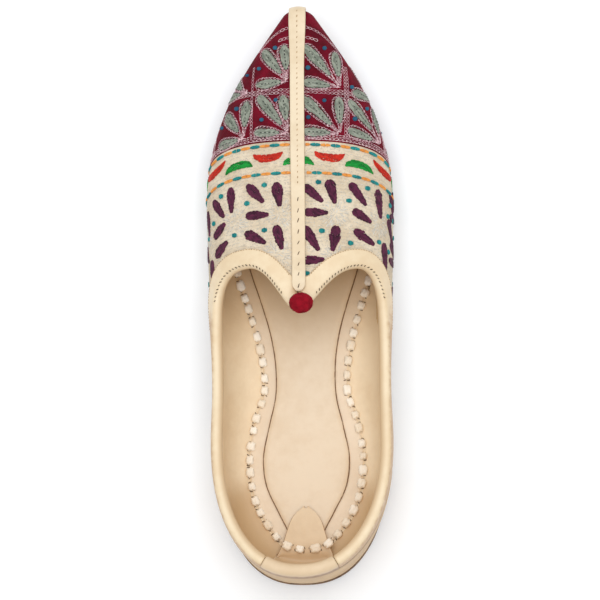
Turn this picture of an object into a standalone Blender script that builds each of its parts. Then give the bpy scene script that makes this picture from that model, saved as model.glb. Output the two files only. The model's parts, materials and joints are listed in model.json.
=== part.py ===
"""Mojari shoe, in metres: +Z up, the toe along +Y, the origin on the floor under its middle.

The shoe is built the way it is made: a leather sole, an insole and its padded sock, one hollow
upper, and the leather strips that bind its edges. Every curved piece is read from the same last,
a straight form made of cross-sections, which is bent a little along its centre line at the end.
"""
import math

import bmesh
import bpy
import numpy as np
from mathutils import Matrix, Vector
from mathutils.bvhtree import BVHTree

MM = 0.001

# Leathers and the gap between pieces
GAP = 0.3 * MM
INNER_GAP = 0.55 * MM
SOLE_THICK = 4.6 * MM
INSOLE_THICK = 2.4 * MM
SOCK_THICK = 2.0 * MM
WALL = 2.0 * MM
BINDING_THICK = 1.1 * MM
WRAP_THICK = 1.4 * MM
STRIP_THICK = 1.3 * MM
COUNTER_THICK = 1.1 * MM
SOLE_ROUND_BELOW = 0.9 * MM
SOLE_ROUND_ABOVE = 0.7 * MM
INSOLE_ROUND = 0.5 * MM

# The last: one row for each cross-section from the toe to the heel seat, in millimetres.
# Sole and wall are half-widths. Belly is the height of the widest line and crown the top of
# the last, which behind the throat is open air.
LAST_COLUMNS = ("y", "sole", "wall", "belly", "crown")
LAST_ROWS = (
    (132, 3.9, 5.1, 17.0, 23.0),
    (121, 10.8, 12.9, 15.8, 24.2),
    (107, 19.2, 22.4, 14.5, 26.4),
    (90, 27.8, 31.6, 14.0, 29.8),
    (73, 33.4, 37.6, 14.5, 33.4),
    (57, 36.6, 41.1, 15.5, 37.0),
    (42, 37.8, 42.5, 16.5, 40.4),
    (20, 36.6, 41.8, 18.0, 45.2),
    (0, 33.4, 40.8, 21.0, 49.4),
    (-24, 29.2, 38.8, 26.5, 55.0),
    (-46, 29.6, 38.1, 29.0, 61.0),
    (-68, 37.4, 38.8, 28.0, 68.0),
)
# Behind the last row the heel is a fan of sections about one centre. Sole and wall are how far
# they reach straight back from it, and the powers say how square each outline is.
HEEL_Y = -68 * MM
HEEL_ARC = 80 * MM
HEEL_BACK = {"sole": 61.0 * MM, "wall": 59.3 * MM, "belly": 25.0 * MM, "crown": 136.0 * MM}
HEEL_POWER = {"sole": 2.4, "wall": 2.2}
TOE_TIP = {"sole": 133.4 * MM, "wall": 132.2 * MM}
NOSE = 3.2 * MM
SOLE_LIP = 1.2 * MM
FOOT_ANGLE = math.radians(-62)

# The centre line seen from above, which gives the shoe its slight bow
CENTRE_ROWS = ((134, -0.9), (60, -0.6), (0, 0.2), (-50, 1.0), (-100, 1.0), (-130, 0.5))

# The floor line of the sole: flat heel and ball, a slight arch between, a sprung toe
ARCH_FROM = -50 * MM
ARCH_TO = 6 * MM
ARCH_RISE = 1.4 * MM
SPRING_FROM = 60 * MM
SPRING_TO = 134 * MM
TOE_SPRING = 9.5 * MM

# Height of the upper's edge behind the throat, in millimetres
RIM_ROWS = ((12, 33.0), (-14, 33.0), (-30, 32.6), (-46, 33.4), (-68, 36.4))
RIM_BACK = 45.6 * MM

# The throat: two round lobes with a pointed tongue between them
LOBE_Y = 8.6 * MM
LOBE_DEPTH = 21.4 * MM
LOBE_X = {1: 27.5 * MM, -1: 22.0 * MM}
TONGUE_TIP = 3.0 * MM
FACING_WIDTH = 6.8 * MM
BINDING_INSIDE = 3.8 * MM
FACING_MEETS_Y = 0.8 * MM
FLANK_STARTS = 8.6 * MM

# The ridge strip, the heel wrap with its tab, and the pompom
STRIP_HALF = 3.2 * MM
STRIP_TIP_HALF = 3.8 * MM
STRIP_END_Y = -4.8 * MM
STRIP_SHIFT = 1.3 * MM
STRIP_END_NARROWED = 0.55
FACING_STEP_RUN = 9 * MM
TOE_WIDENING = (100 * MM, 28 * MM)
WRAP_HALF = 16.0 * MM
WRAP_FOOT_HALF = 13.2 * MM
WRAP_INSIDE_LEG = 0.45
WRAP_TOP_SHARE = 0.8
WRAP_FOOT_SHARE = 0.52
SEAM_GAP = 0.28 * MM
COUNTER_FRONT = -84 * MM
COUNTER_FOOT = math.radians(3)
POMPOM_PLACE = (1.6 * MM, -11.4 * MM)
POMPOM_HALVES = (5.2 * MM, 4.5 * MM, 3.9 * MM)
POMPOM_LOCKS = 46
LOCK_VALLEY = 0.90
LOCK_RISE = 0.16
LOCK_SPREAD = 0.07

# Where the middle of the finished shoe lies on the last, which is drawn from its waist
SHOE_MIDDLE = (0.0, 2.1 * MM)

# The padded sock, half-widths in millimetres, and its shift towards one side
SOCK_ROWS = (
    (119, 4.0), (107, 9.5), (92, 17.5), (71, 25.5), (48, 29.0), (28, 28.0), (12, 24.5),
    (-4, 19.4), (-18, 15.6), (-34, 13.5), (-46, 13.9), (-58, 16.6), (-75, 19.5), (-86, 18.0),
    (-98, 12.4), (-108, 7.6), (-113, 6.6),
)
SOCK_SHIFT = 1.0 * MM
SOCK_CORNER = 3.0 * MM
# The soft edge of the sock: its inset, and its height as a share of the sock's thickness
SOCK_EDGE = ((0.0, 0.0), (0.0, 0.45), (0.7 * MM, 0.8), (2.6 * MM, 1.0))
# The tab at the end of the heel wrap, half-widths in millimetres from its foot to its tip
TAB_ROWS = (
    (-116.2, 12.6), (-114.4, 11.3), (-111.4, 10.1), (-108.3, 9.2), (-105.3, 8.2), (-102.2, 7.2),
    (-99.2, 5.3), (-97.4, 3.4), (-96.5, 1.4),
)

# How finely the pieces are faceted
VAMP_STEPS = 18
NOSE_STEPS = 4
LOBE_STEPS = 8
SIDE_STEPS = 7
HEEL_STEPS = 11
SIDE_ROWS = 8
TONGUE_ROWS = 4
TOE_SPLIT = math.radians(54)
SPLIT_RUN = 60 * MM

# Materials: base colour, roughness
LEATHER_TAN = (0.72, 0.55, 0.35, 1.0)
LEATHER_PALE = (0.80, 0.66, 0.46, 1.0)
LEATHER_SOLE = (0.50, 0.33, 0.18, 1.0)
LEATHER_TAB = (0.68, 0.46, 0.28, 1.0)
CLOTH_CREAM = (0.75, 0.68, 0.55, 1.0)
FELT_CRIMSON = (0.28, 0.01, 0.04, 1.0)


def curve_through(pairs, level_end=False):
    """Smooth function through (place, value) pairs, given in millimetres."""
    places = np.array([pair[0] for pair in pairs], dtype=float) * MM
    values = np.array([pair[1] for pair in pairs], dtype=float) * MM
    order = np.argsort(places)
    places = places[order]
    values = values[order]
    slopes = np.gradient(values, places)
    if level_end:
        slopes[0] = 0.0

    def value(place):
        if place <= places[0]:
            return float(values[0] + slopes[0] * (place - places[0]))
        if place >= places[-1]:
            return float(values[-1] + slopes[-1] * (place - places[-1]))
        i = int(np.searchsorted(places, place)) - 1
        span = places[i + 1] - places[i]
        u = (place - places[i]) / span
        start = values[i] * (1 + 2 * u) + slopes[i] * span * u
        end = values[i + 1] * (3 - 2 * u) + slopes[i + 1] * span * (u - 1)
        return float(start * (1 - u) ** 2 + end * u ** 2)

    return value


def column(name):
    """One column of the last as a smooth function of y."""
    place = LAST_COLUMNS.index(name)
    return curve_through([(row[0], row[place]) for row in LAST_ROWS], level_end=True)


LAST = {name: column(name) for name in LAST_COLUMNS[1:]}
centre = curve_through(CENTRE_ROWS)
rim_height = curve_through(RIM_ROWS, level_end=True)
sock_half = curve_through(SOCK_ROWS)


def ease(u):
    """Smooth step from 0 to 1."""
    u = min(max(u, 0.0), 1.0)
    return u * u * (3 - 2 * u)


def floor_line(y):
    """Height of the sole's underside at y."""
    u = (y - ARCH_FROM) / (ARCH_TO - ARCH_FROM)
    arch = ARCH_RISE * math.sin(math.pi * min(max(u, 0.0), 1.0)) ** 2
    sprung = max(0.0, (y - SPRING_FROM) / (SPRING_TO - SPRING_FROM))
    return arch + TOE_SPRING * sprung ** 2


def nose_closing(y, tip):
    """1 along the shoe, falling to 0 at the tip of the toe as a circle does."""
    run = min(max((y - tip + NOSE) / NOSE, 0.0), 1.0)
    return math.sqrt(1 - run * run)


def half_width(level, y, inset=0.0):
    """Half the width of the sole or of the wall at y, inset evenly all round."""
    if y < HEEL_Y:
        side = LAST[level](HEEL_Y) - inset
        run = min((HEEL_Y - y) / (HEEL_BACK[level] - inset), 1.0)
        power = HEEL_POWER[level]
        return side * (1 - run ** power) ** (1 / power)
    step = 0.5 * MM
    slope = (LAST[level](y + step) - LAST[level](y - step)) / (2 * step)
    width = LAST[level](y) - inset * math.hypot(1, slope)
    return max(width, 0.0) * nose_closing(y, TOE_TIP[level] - inset)


def heel_reach(level, turn, inset=0.0):
    """Distance from the heel's centre to the sole or wall, turned back from the side."""
    side = abs(math.cos(turn)) / (LAST[level](HEEL_Y) - inset)
    back = abs(math.sin(turn)) / (HEEL_BACK[level] - inset)
    power = HEEL_POWER[level]
    return (side ** power + back ** power) ** (-1 / power)


def heel_turn(station):
    """Angle of a station in the heel's fan: 0 at the side, a right angle at the back."""
    return (HEEL_Y - station) / HEEL_ARC * math.pi / 2


def section(station):
    """Sizes of the cross-section at a station: its start, direction, reaches and heights."""
    if station >= HEEL_Y:
        closing = nose_closing(station, TOE_TIP["wall"])
        belly = LAST["belly"](station)
        return {
            "y": station,
            "way": (1.0, 0.0),
            "base": half_width("sole", station, SOLE_LIP),
            "wall": half_width("wall", station),
            "belly": belly,
            "crown": belly + (LAST["crown"](station) - belly) * closing,
        }
    turn = heel_turn(station)
    back = math.sin(turn) ** 2
    return {
        "y": HEEL_Y,
        "way": (math.cos(turn), -math.sin(turn)),
        "base": heel_reach("sole", turn, SOLE_LIP),
        "wall": heel_reach("wall", turn),
        "belly": LAST["belly"](HEEL_Y) * (1 - back) + HEEL_BACK["belly"] * back,
        "crown": LAST["crown"](HEEL_Y) * (1 - back) + HEEL_BACK["crown"] * back,
    }


def last_point(station, angle):
    """Point on the right half of the last: angle FOOT_ANGLE at the sole, 90 degrees on top."""
    cut = section(station)
    if angle < 0:
        opened = (math.cos(angle) - math.cos(FOOT_ANGLE)) / (1 - math.cos(FOOT_ANGLE))
        reach = cut["base"] + (cut["wall"] - cut["base"]) * opened
        foot = floor_line(cut["y"] + cut["way"][1] * cut["base"]) + SOLE_THICK + GAP
        height = cut["belly"] - (cut["belly"] - foot) * math.sin(angle) / math.sin(FOOT_ANGLE)
    else:
        reach = cut["wall"] * math.cos(angle)
        height = cut["belly"] + (cut["crown"] - cut["belly"]) * math.sin(angle)
    return np.array((cut["way"][0] * reach, cut["y"] + cut["way"][1] * reach, height))


def partials(station, angle):
    """How a point of the last moves with its station and with its angle."""
    along = 0.25 * MM
    up = math.radians(0.5)
    d_station = (last_point(station + along, angle) - last_point(station - along, angle)) / (2 * along)
    d_angle = (last_point(station, angle + up) - last_point(station, angle - up)) / (2 * up)
    return d_station, d_angle


def last_normal(station, angle):
    """Unit normal of the last, pointing out."""
    d_station, d_angle = partials(station, angle)
    normal = np.cross(d_station, d_angle)
    return normal / np.linalg.norm(normal)


def lifted(station, angle, lift):
    """Point at a height above the last's surface, along its normal."""
    return last_point(station, angle) + lift * last_normal(station, angle)


def walk(station, angle, heading, distance, steps=5):
    """Station and angle reached by going over the last's surface towards a heading."""
    for _ in range(steps):
        d_station, d_angle = partials(station, angle)
        frame = np.column_stack((d_station, d_angle))
        move = np.linalg.lstsq(frame, heading * distance / steps, rcond=None)[0]
        station += move[0]
        angle += move[1]
    return station, angle


def lobe_angle(side):
    """Angle on the last where a lobe of the throat reaches furthest forward."""
    return math.acos(LOBE_X[side] / section(LOBE_Y)["wall"])


def split_angle(station, side):
    """Angle between the side rows and the tongue rows: the lobe's, the same for both at the toe."""
    u = ease((station - LOBE_Y) / SPLIT_RUN)
    return lobe_angle(side) * (1 - u) + TOE_SPLIT * u


def edge_height(station):
    """Height of the upper's edge along the side and round the heel."""
    if station >= HEEL_Y:
        return rim_height(station)
    back = math.sin(heel_turn(station)) ** 2
    return rim_height(HEEL_Y) * (1 - back) + RIM_BACK * back


def side_edge(station, side):
    """Angle of the upper's edge behind the lobe, which it leaves as a quarter of a round."""
    cut = section(station)
    height = edge_height(station)
    behind = (LOBE_Y - station) / LOBE_DEPTH
    if behind < 1:
        round_off = 1 - math.sqrt(max(0.0, 1 - (1 - behind) ** 2))
        top = last_point(LOBE_Y, lobe_angle(side))[2]
        height += (top - height) * round_off
    return math.asin((height - cut["belly"]) / (cut["crown"] - cut["belly"]))


def tongue_edge(station, side):
    """Angle of the tongue's edge: from the lobe, narrowing to a blunt tip on the ridge."""
    behind = math.sqrt(max(0.0, (LOBE_Y - station) / LOBE_DEPTH))
    taper = (LOBE_X[side] - TONGUE_TIP) * (1 - behind)
    x = taper + TONGUE_TIP * math.sqrt(max(0.0, 1 - behind ** 8))
    return math.acos(min(x / section(station)["wall"], 1.0))


def lobe_stations():
    """Stations from the lobe's front back to the tongue's tip, close together at the front."""
    return [LOBE_Y - LOBE_DEPTH * (k / LOBE_STEPS) ** 2 for k in range(LOBE_STEPS + 1)]


def vamp_stations():
    """Stations from the lobe's front to the tip of the toe."""
    nose = TOE_TIP["wall"] - NOSE
    run = [LOBE_Y + (nose - LOBE_Y) * k / VAMP_STEPS for k in range(VAMP_STEPS)]
    turn = [nose + NOSE * math.sin(math.pi / 2 * k / NOSE_STEPS) for k in range(NOSE_STEPS + 1)]
    return run + turn


def quarter_stations(last_station=None):
    """Stations from behind the lobe along the side and round the heel, to the back."""
    start = LOBE_Y - LOBE_DEPTH
    side = [start + (HEEL_Y - start) * k / SIDE_STEPS for k in range(1, SIDE_STEPS + 1)]
    heel = [HEEL_Y - HEEL_ARC * k / HEEL_STEPS for k in range(1, HEEL_STEPS + 1)]
    run = side + heel
    if last_station is None:
        return run
    return [station for station in run if station > last_station + 1.5 * MM] + [last_station]


def placed(points, side=1):
    """Points of the straight right half, mirrored to a side and bent along the centre line."""
    return [[(side * p[0] + centre(p[1]), p[1], p[2]) for p in line] for line in points]


def new_object(name, mesh, material):
    """Object of a mesh with its material, in the shoe's collection."""
    mesh.materials.append(material)
    item = bpy.data.objects.new(name, mesh)
    bpy.data.collections["mojari_shoe"].objects.link(item)
    return item


def add_grid(mesh_data, lines, outward_flip=False):
    """Quads between lines of points. They face out when lines run forward and points up."""
    rows = [[mesh_data.verts.new(point) for point in line] for line in lines]
    for first, second in zip(rows, rows[1:]):
        for j in range(len(first) - 1):
            quad = (first[j], second[j], second[j + 1], first[j + 1])
            mesh_data.faces.new(quad[::-1] if outward_flip else quad)


def finish_mesh(mesh_data, name):
    """Mesh with doubled points joined and collapsed faces gone, shaded smooth."""
    bmesh.ops.remove_doubles(mesh_data, verts=mesh_data.verts, dist=0.01 * MM)
    mesh = bpy.data.meshes.new(name)
    mesh_data.to_mesh(mesh)
    mesh_data.free()
    mesh.shade_smooth()
    mesh.set_sharp_from_angle(angle=math.radians(40))
    return mesh


def add_wall(item, thickness, outward):
    """Give an open surface its thickness, outward or inward."""
    wall = item.modifiers.new("Wall", "SOLIDIFY")
    wall.thickness = thickness
    wall.offset = 1.0 if outward else -1.0
    wall.use_even_offset = True
    wall.thickness_clamp = 0.0


def leather(name, colour, roughness):
    """Principled material of one piece."""
    material = bpy.data.materials.new(name)
    material.use_nodes = True
    shader = material.node_tree.nodes["Principled BSDF"]
    shader.inputs["Base Color"].default_value = colour
    shader.inputs["Roughness"].default_value = roughness
    shader.inputs["Metallic"].default_value = 0.0
    material.diffuse_color = colour
    return material


def plate(name, outline, back, front, levels, material, lift, steps=44, shift=0.0):
    """Flat piece on the floor line: each level is an outline with its inset and height."""
    mesh_data = bmesh.new()
    loops = []
    for inset, height in levels:
        first = back + inset
        last = front - inset
        run = [0.5 - 0.5 * math.cos(math.pi * k / steps) for k in range(steps + 1)]
        right = []
        left = []
        for u in run:
            y = first + (last - first) * u
            x = outline(y, inset)
            z = floor_line(y) + lift + height
            middle = centre(y) + shift
            right.append((middle + x, y, z))
            left.append((middle - x, y, z))
        loops.append((right, left))
    for (right, left), (right_up, left_up) in zip(loops, loops[1:]):
        add_grid(mesh_data, [[a, b] for a, b in zip(right, right_up)])
        add_grid(mesh_data, [[a, b] for a, b in zip(left, left_up)], outward_flip=True)
    bottom_right, bottom_left = loops[0]
    top_right, top_left = loops[-1]
    add_grid(mesh_data, [[a, b] for a, b in zip(bottom_left, bottom_right)])
    add_grid(mesh_data, [[a, b] for a, b in zip(top_right, top_left)])
    return new_object(name, finish_mesh(mesh_data, name), material)


def make_outsole():
    """Hard leather sole with rounded edges, a flat heel and ball and a sprung toe."""
    levels = (
        (SOLE_ROUND_BELOW, 0.0), (0.0, SOLE_ROUND_BELOW),
        (0.0, SOLE_THICK - SOLE_ROUND_ABOVE), (SOLE_ROUND_ABOVE, SOLE_THICK))
    return plate(
        "outsole", lambda y, inset: half_width("sole", y, inset), HEEL_Y - HEEL_BACK["sole"],
        TOE_TIP["sole"], levels, leather("sole_leather", LEATHER_SOLE, 0.6), 0.0, steps=52)


def make_insole():
    """Leather board that fills the floor of the shoe."""
    edge = SOLE_LIP + WALL + 2 * GAP
    levels = ((0.0, 0.0), (0.0, INSOLE_THICK - INSOLE_ROUND), (INSOLE_ROUND, INSOLE_THICK))
    return plate(
        "insole", lambda y, inset: half_width("sole", y, inset + edge),
        HEEL_Y - HEEL_BACK["sole"] + edge, TOE_TIP["sole"] - edge, levels,
        leather("insole_leather", LEATHER_PALE, 0.55), SOLE_THICK + GAP, steps=40)


def sock_outline(y, inset):
    """Half-width of the violin-shaped sock, rounded at the toe and square at the heel."""
    back = SOCK_ROWS[-1][0] * MM
    front = SOCK_ROWS[0][0] * MM
    closing = nose_closing(y, front - inset)
    corner = min(max((back + inset + SOCK_CORNER - y) / SOCK_CORNER, 0.0), 1.0)
    return max(sock_half(y) - inset, 0.0) * closing * math.sqrt(1 - corner ** 2)


def make_sock_pad():
    """Padded sock on the insole, with a soft rounded edge."""
    levels = [(inset, share * SOCK_THICK) for inset, share in SOCK_EDGE]
    return plate(
        "sock_pad", sock_outline, SOCK_ROWS[-1][0] * MM, SOCK_ROWS[0][0] * MM, levels,
        leather("sock_leather", LEATHER_PALE, 0.5), SOLE_THICK + INSOLE_THICK + 2 * GAP,
        steps=34, shift=SOCK_SHIFT)


def make_upper():
    """One shell: side rows up to the edge, and tongue rows from the lobes to the ridge."""
    mesh_data = bmesh.new()
    lobe = lobe_stations()
    vamp = vamp_stations()
    top = math.pi / 2
    for side in (1, -1):
        side_lines = []
        for station in (quarter_stations()[::-1] + lobe[:0:-1] + vamp):
            edge = split_angle(station, side) if station >= LOBE_Y else side_edge(station, side)
            angles = [FOOT_ANGLE + (edge - FOOT_ANGLE) * j / SIDE_ROWS for j in range(SIDE_ROWS + 1)]
            side_lines.append([last_point(station, angle) for angle in angles])
        tongue_lines = []
        for station in (lobe[:0:-1] + vamp):
            edge = split_angle(station, side) if station >= LOBE_Y else tongue_edge(station, side)
            angles = [edge + (top - edge) * k / TONGUE_ROWS for k in range(TONGUE_ROWS + 1)]
            tongue_lines.append([last_point(station, angle) for angle in angles])
        add_grid(mesh_data, placed(side_lines, side), outward_flip=side < 0)
        add_grid(mesh_data, placed(tongue_lines, side), outward_flip=side < 0)
    mesh = finish_mesh(mesh_data, "upper")
    upper = new_object("upper", mesh, leather("embroidered_cloth", CLOTH_CREAM, 0.8))
    add_wall(upper, WALL, outward=False)
    return upper


def edge_run(side, last_station):
    """The upper's edge as (station, angle) from the tongue's tip, round the lobe and back."""
    tongue = [(station, tongue_edge(station, side)) for station in lobe_stations()[:0:-1]]
    front = [(LOBE_Y, lobe_angle(side))]
    flank = [(station, side_edge(station, side)) for station in lobe_stations()[1:]]
    rim = [(station, side_edge(station, side)) for station in quarter_stations(last_station)]
    return tongue + front + flank + rim


def leg_ends(run):
    """Where the binding's outer leg ends for each point of the edge, a facing's width away.

    Beside the tongue's tip legs at right angles would cross the ridge. There they fan out to
    the short stretch where the facings of both sides meet under the ridge strip.
    """
    points = [last_point(station, angle) for station, angle in run]
    ends = []
    for i, (station, angle) in enumerate(run):
        ahead = points[min(i + 1, len(points) - 1)] - points[max(i - 1, 0)]
        heading = np.cross(last_normal(station, angle), ahead)
        heading /= np.linalg.norm(heading)
        if points[i][0] > FLANK_STARTS or i >= LOBE_STEPS:
            ends.append(walk(station, angle, heading, FACING_WIDTH))
        else:
            ends.append(None)
    first = next(i for i, end in enumerate(ends) if end is not None)
    middle = (FACING_MEETS_Y, math.acos(0.5 * GAP / section(FACING_MEETS_Y)["wall"]))
    for i in range(first):
        u = points[i][0] / points[first][0]
        ends[i] = tuple(middle[k] * (1 - u) + ends[first][k] * u for k in range(2))
    return ends


def folded_line(start, end, inside):
    """Points across a binding: up the inside of the wall, over its edge and down the outside."""
    station, angle = start
    edge = last_point(station, angle)
    normal = last_normal(station, angle)
    near = tuple(start[k] + (end[k] - start[k]) * 0.02 for k in range(2))
    down = last_point(*near) - edge
    down /= np.linalg.norm(down)

    def over(back, lift):
        return edge + back * down + lift * normal

    def leg(fraction, lift):
        return lifted(start[0] + (end[0] - start[0]) * fraction,
                      start[1] + (end[1] - start[1]) * fraction, lift)

    deep = -(WALL + INNER_GAP)
    return [
        leg(inside, deep), leg(inside * 0.4, deep), over(0.0, deep), over(-0.4 * MM, -WALL),
        over(-0.65 * MM, -WALL / 2), over(-0.4 * MM, 0.0), over(0.0, GAP * 1.1),
        leg(0.4, GAP), leg(0.7, GAP), leg(1.0, GAP),
    ]


def seam_station():
    """Station of the heel seam, where the rim is half the wrap's width from the middle."""
    low = HEEL_Y - HEEL_ARC
    high = HEEL_Y
    for _ in range(40):
        middle = (low + high) / 2
        wide = last_point(middle, side_edge(middle, 1))[0] > WRAP_HALF
        high = middle if wide else high
        low = low if wide else middle
    return high


def make_binding(side):
    """Leather strip folded over the edge from the tongue's tip to the heel seam."""
    run = edge_run(side, seam_station() + SEAM_GAP)
    run[0] = (run[0][0], math.acos(0.5 * GAP / section(run[0][0])["wall"]))
    ends = leg_ends(run)
    lines = []
    for start, end in zip(run, ends):
        length = np.linalg.norm(last_point(*end) - last_point(*start))
        lines.append(folded_line(start, end, min(BINDING_INSIDE / length, 0.5)))
    name = "collar_binding_right" if side > 0 else "collar_binding_left"
    mesh_data = bmesh.new()
    add_grid(mesh_data, placed(lines, side), outward_flip=side < 0)
    item = new_object(name, finish_mesh(mesh_data, name), leather(name, LEATHER_TAN, 0.45))
    add_wall(item, BINDING_THICK, outward=True)
    return item


def make_heel_counter():
    """Plain leather outside the heel, between the sole and the bound edge."""
    mesh_data = bmesh.new()
    behind = [station for station in quarter_stations() if station < COUNTER_FRONT - 2 * MM]
    stations = [COUNTER_FRONT] + behind
    for side in (1, -1):
        lines = []
        for station in stations[::-1]:
            edge = (station, side_edge(station, 1))
            top = walk(*edge, np.array((0.0, 0.0, -1.0)), FACING_WIDTH + 2 * GAP)[1]
            foot = FOOT_ANGLE + COUNTER_FOOT
            angles = [foot + (top - foot) * j / 5 for j in range(6)]
            lines.append([lifted(station, angle, GAP) for angle in angles])
        add_grid(mesh_data, placed(lines, side), outward_flip=side < 0)
    mesh = finish_mesh(mesh_data, "heel_counter")
    item = new_object("heel_counter", mesh, leather("counter_leather", LEATHER_TAN, 0.5))
    add_wall(item, COUNTER_THICK, outward=True)
    return item


def make_heel_wrap():
    """Strip folded over the back of the rim, down the inner heel and out over the sock."""
    mesh_data = bmesh.new()
    seam = seam_station() - SEAM_GAP
    back = HEEL_Y - HEEL_ARC
    tab_half = curve_through(TAB_ROWS)
    tab_height = SOLE_THICK + INSOLE_THICK + SOCK_THICK + 3 * GAP
    columns = 10
    lines = []
    for c in range(columns + 1):
        f = 2 * c / columns - 1
        side = -1 if f < 0 else 1
        station = back + (seam - back) * abs(f)
        start = (station, side_edge(station, 1))
        end = walk(*start, np.array((0.0, 0.0, -1.0)), FACING_WIDTH)
        line = folded_line(start, end, WRAP_INSIDE_LEG)[::-1]
        line = placed([line], side)[0]
        inner_foot = FOOT_ANGLE * WRAP_FOOT_SHARE
        for u in (0.3, 0.6, 0.85, 1.0):
            narrow = 1 - (1 - WRAP_FOOT_HALF / WRAP_HALF) * u
            lower = back + (seam - back) * abs(f) * narrow
            top = side_edge(lower, 1) * WRAP_TOP_SHARE
            angle = top + (inner_foot - top) * u
            point = lifted(lower, angle, -(WALL + INNER_GAP))
            line.append(placed([[point]], side)[0][0])
        for y, _ in TAB_ROWS:
            place = y * MM
            x = centre(place) + SOCK_SHIFT + f * tab_half(place)
            line.append((x, place, tab_height))
        lines.append(line)
    add_grid(mesh_data, lines)
    mesh = finish_mesh(mesh_data, "heel_wrap")
    item = new_object("heel_wrap", mesh, leather("wrap_leather", LEATHER_TAB, 0.5))
    add_wall(item, WRAP_THICK, outward=True)
    return item


def surface_tree(item):
    """Search tree of an object's open surface, for seating pieces on it."""
    mesh = item.data
    points = [vertex.co.copy() for vertex in mesh.vertices]
    faces = [tuple(face.vertices) for face in mesh.polygons]
    return BVHTree.FromPolygons(points, faces)


def seated(tree, point, lift):
    """Nearest point of a surface, lifted along the normal averaged round it."""
    place = tree.find_nearest(Vector(point))[0]
    normal = Vector((0.0, 0.0, 0.0))
    for _, near, _, distance in tree.find_nearest_range(place, 5 * MM):
        normal += near * (5 * MM - distance)
    return place + normal.normalized() * lift


def make_ridge_strip(upper):
    """Strip along the ridge from the tongue, over the facing, and folded down over the toe."""
    tree = surface_tree(upper)
    tip = TOE_TIP["wall"]
    nose_y = tip - NOSE
    toe_top = last_point(nose_y, math.pi / 2)[2]
    toe_mid = LAST["belly"](tip)
    path = []
    straight = 20
    for k in range(straight + 1):
        y = STRIP_END_Y + (nose_y - STRIP_END_Y) * k / straight
        path.append((y, last_point(y, math.pi / 2)[2]))
    for k in range(1, 5):
        turn = math.pi / 2 * k / 4
        path.append((nose_y + NOSE * math.sin(turn), toe_mid + (toe_top - toe_mid) * math.cos(turn)))
    base = floor_line(tip) + SOLE_THICK + 2 * GAP
    path.append((tip, (toe_mid + base) / 2))
    lines = []
    for y, z in path:
        over_facing = 1 - ease((y - FACING_MEETS_Y - 1 * MM) / FACING_STEP_RUN)
        lift = GAP + (GAP + BINDING_THICK) * over_facing
        widening = ease((y - TOE_WIDENING[0]) / TOE_WIDENING[1])
        half = STRIP_HALF + (STRIP_TIP_HALF - STRIP_HALF) * widening
        if y < STRIP_END_Y + 0.5 * MM:
            half *= STRIP_END_NARROWED
        aside = STRIP_SHIFT * (1 - ease(y / tip))
        line = []
        for f in (1.0, 0.5, 0.0, -0.5, -1.0):
            guess = (centre(y) + aside + f * half, y, z)
            line.append(tuple(seated(tree, guess, lift)))
        lines.append(line)
    mesh_data = bmesh.new()
    add_grid(mesh_data, lines)
    mesh = finish_mesh(mesh_data, "ridge_strip")
    item = new_object("ridge_strip", mesh, leather("strip_leather", LEATHER_PALE, 0.45))
    add_wall(item, STRIP_THICK, outward=True)
    return item


def make_pompom():
    """Felt ball whose surface is pushed out into short locks, on the tongue's tip."""
    golden = math.pi * (3 - math.sqrt(5))
    directions = []
    for k in range(POMPOM_LOCKS):
        z = 1 - 2 * (k + 0.5) / POMPOM_LOCKS
        r = math.sqrt(1 - z * z)
        directions.append(Vector((r * math.cos(golden * k), r * math.sin(golden * k), z)))
    x, y = POMPOM_PLACE
    tongue_top = LAST["crown"](y) + 2 * GAP + BINDING_THICK
    middle = Vector((x + centre(y), y, tongue_top + POMPOM_HALVES[2] * (LOCK_VALLEY + LOCK_RISE)))
    mesh_data = bmesh.new()
    bmesh.ops.create_icosphere(mesh_data, subdivisions=3, radius=1.0)
    for vertex in mesh_data.verts:
        way = vertex.co.normalized()
        near = max(way.dot(direction) for direction in directions)
        lock = LOCK_VALLEY + LOCK_RISE * ease((near - 1 + LOCK_SPREAD) / LOCK_SPREAD)
        reach = Vector(way[k] * POMPOM_HALVES[k] * lock for k in range(3))
        vertex.co = middle + reach
    mesh = finish_mesh(mesh_data, "pompom")
    return new_object("pompom", mesh, leather("crimson_felt", FELT_CRIMSON, 0.95))


def stand_on_origin(shoe):
    """Move every piece so that the origin lies under the middle of the finished shoe."""
    move = Matrix.Translation((-SHOE_MIDDLE[0], -SHOE_MIDDLE[1], 0.0))
    for item in shoe.objects:
        item.data.transform(move)


def main():
    for item in list(bpy.data.objects):
        bpy.data.objects.remove(item, do_unlink=True)
    shoe = bpy.data.collections.new("mojari_shoe")
    bpy.context.scene.collection.children.link(shoe)
    make_outsole()
    make_insole()
    make_sock_pad()
    upper = make_upper()
    make_binding(1)
    make_binding(-1)
    make_heel_counter()
    make_heel_wrap()
    make_ridge_strip(upper)
    make_pompom()
    stand_on_origin(shoe)
    bpy.context.view_layer.update()
    for item in shoe.objects:
        low = min((item.matrix_world @ Vector(c)).z for c in item.bound_box)
        print(item.name, [round(v / MM, 1) for v in item.dimensions], "lowest", round(low / MM, 2))


main()
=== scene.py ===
# %% [markdown]
# A mojari is a flat leather slip-on shoe with a pointed toe. This lesson dresses its plain solids:
# the padded sock, the hollow upper, the folded leather strips and the thread embroidery.
# Every curved piece is read from the same last that the solids were drawn on.

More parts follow.
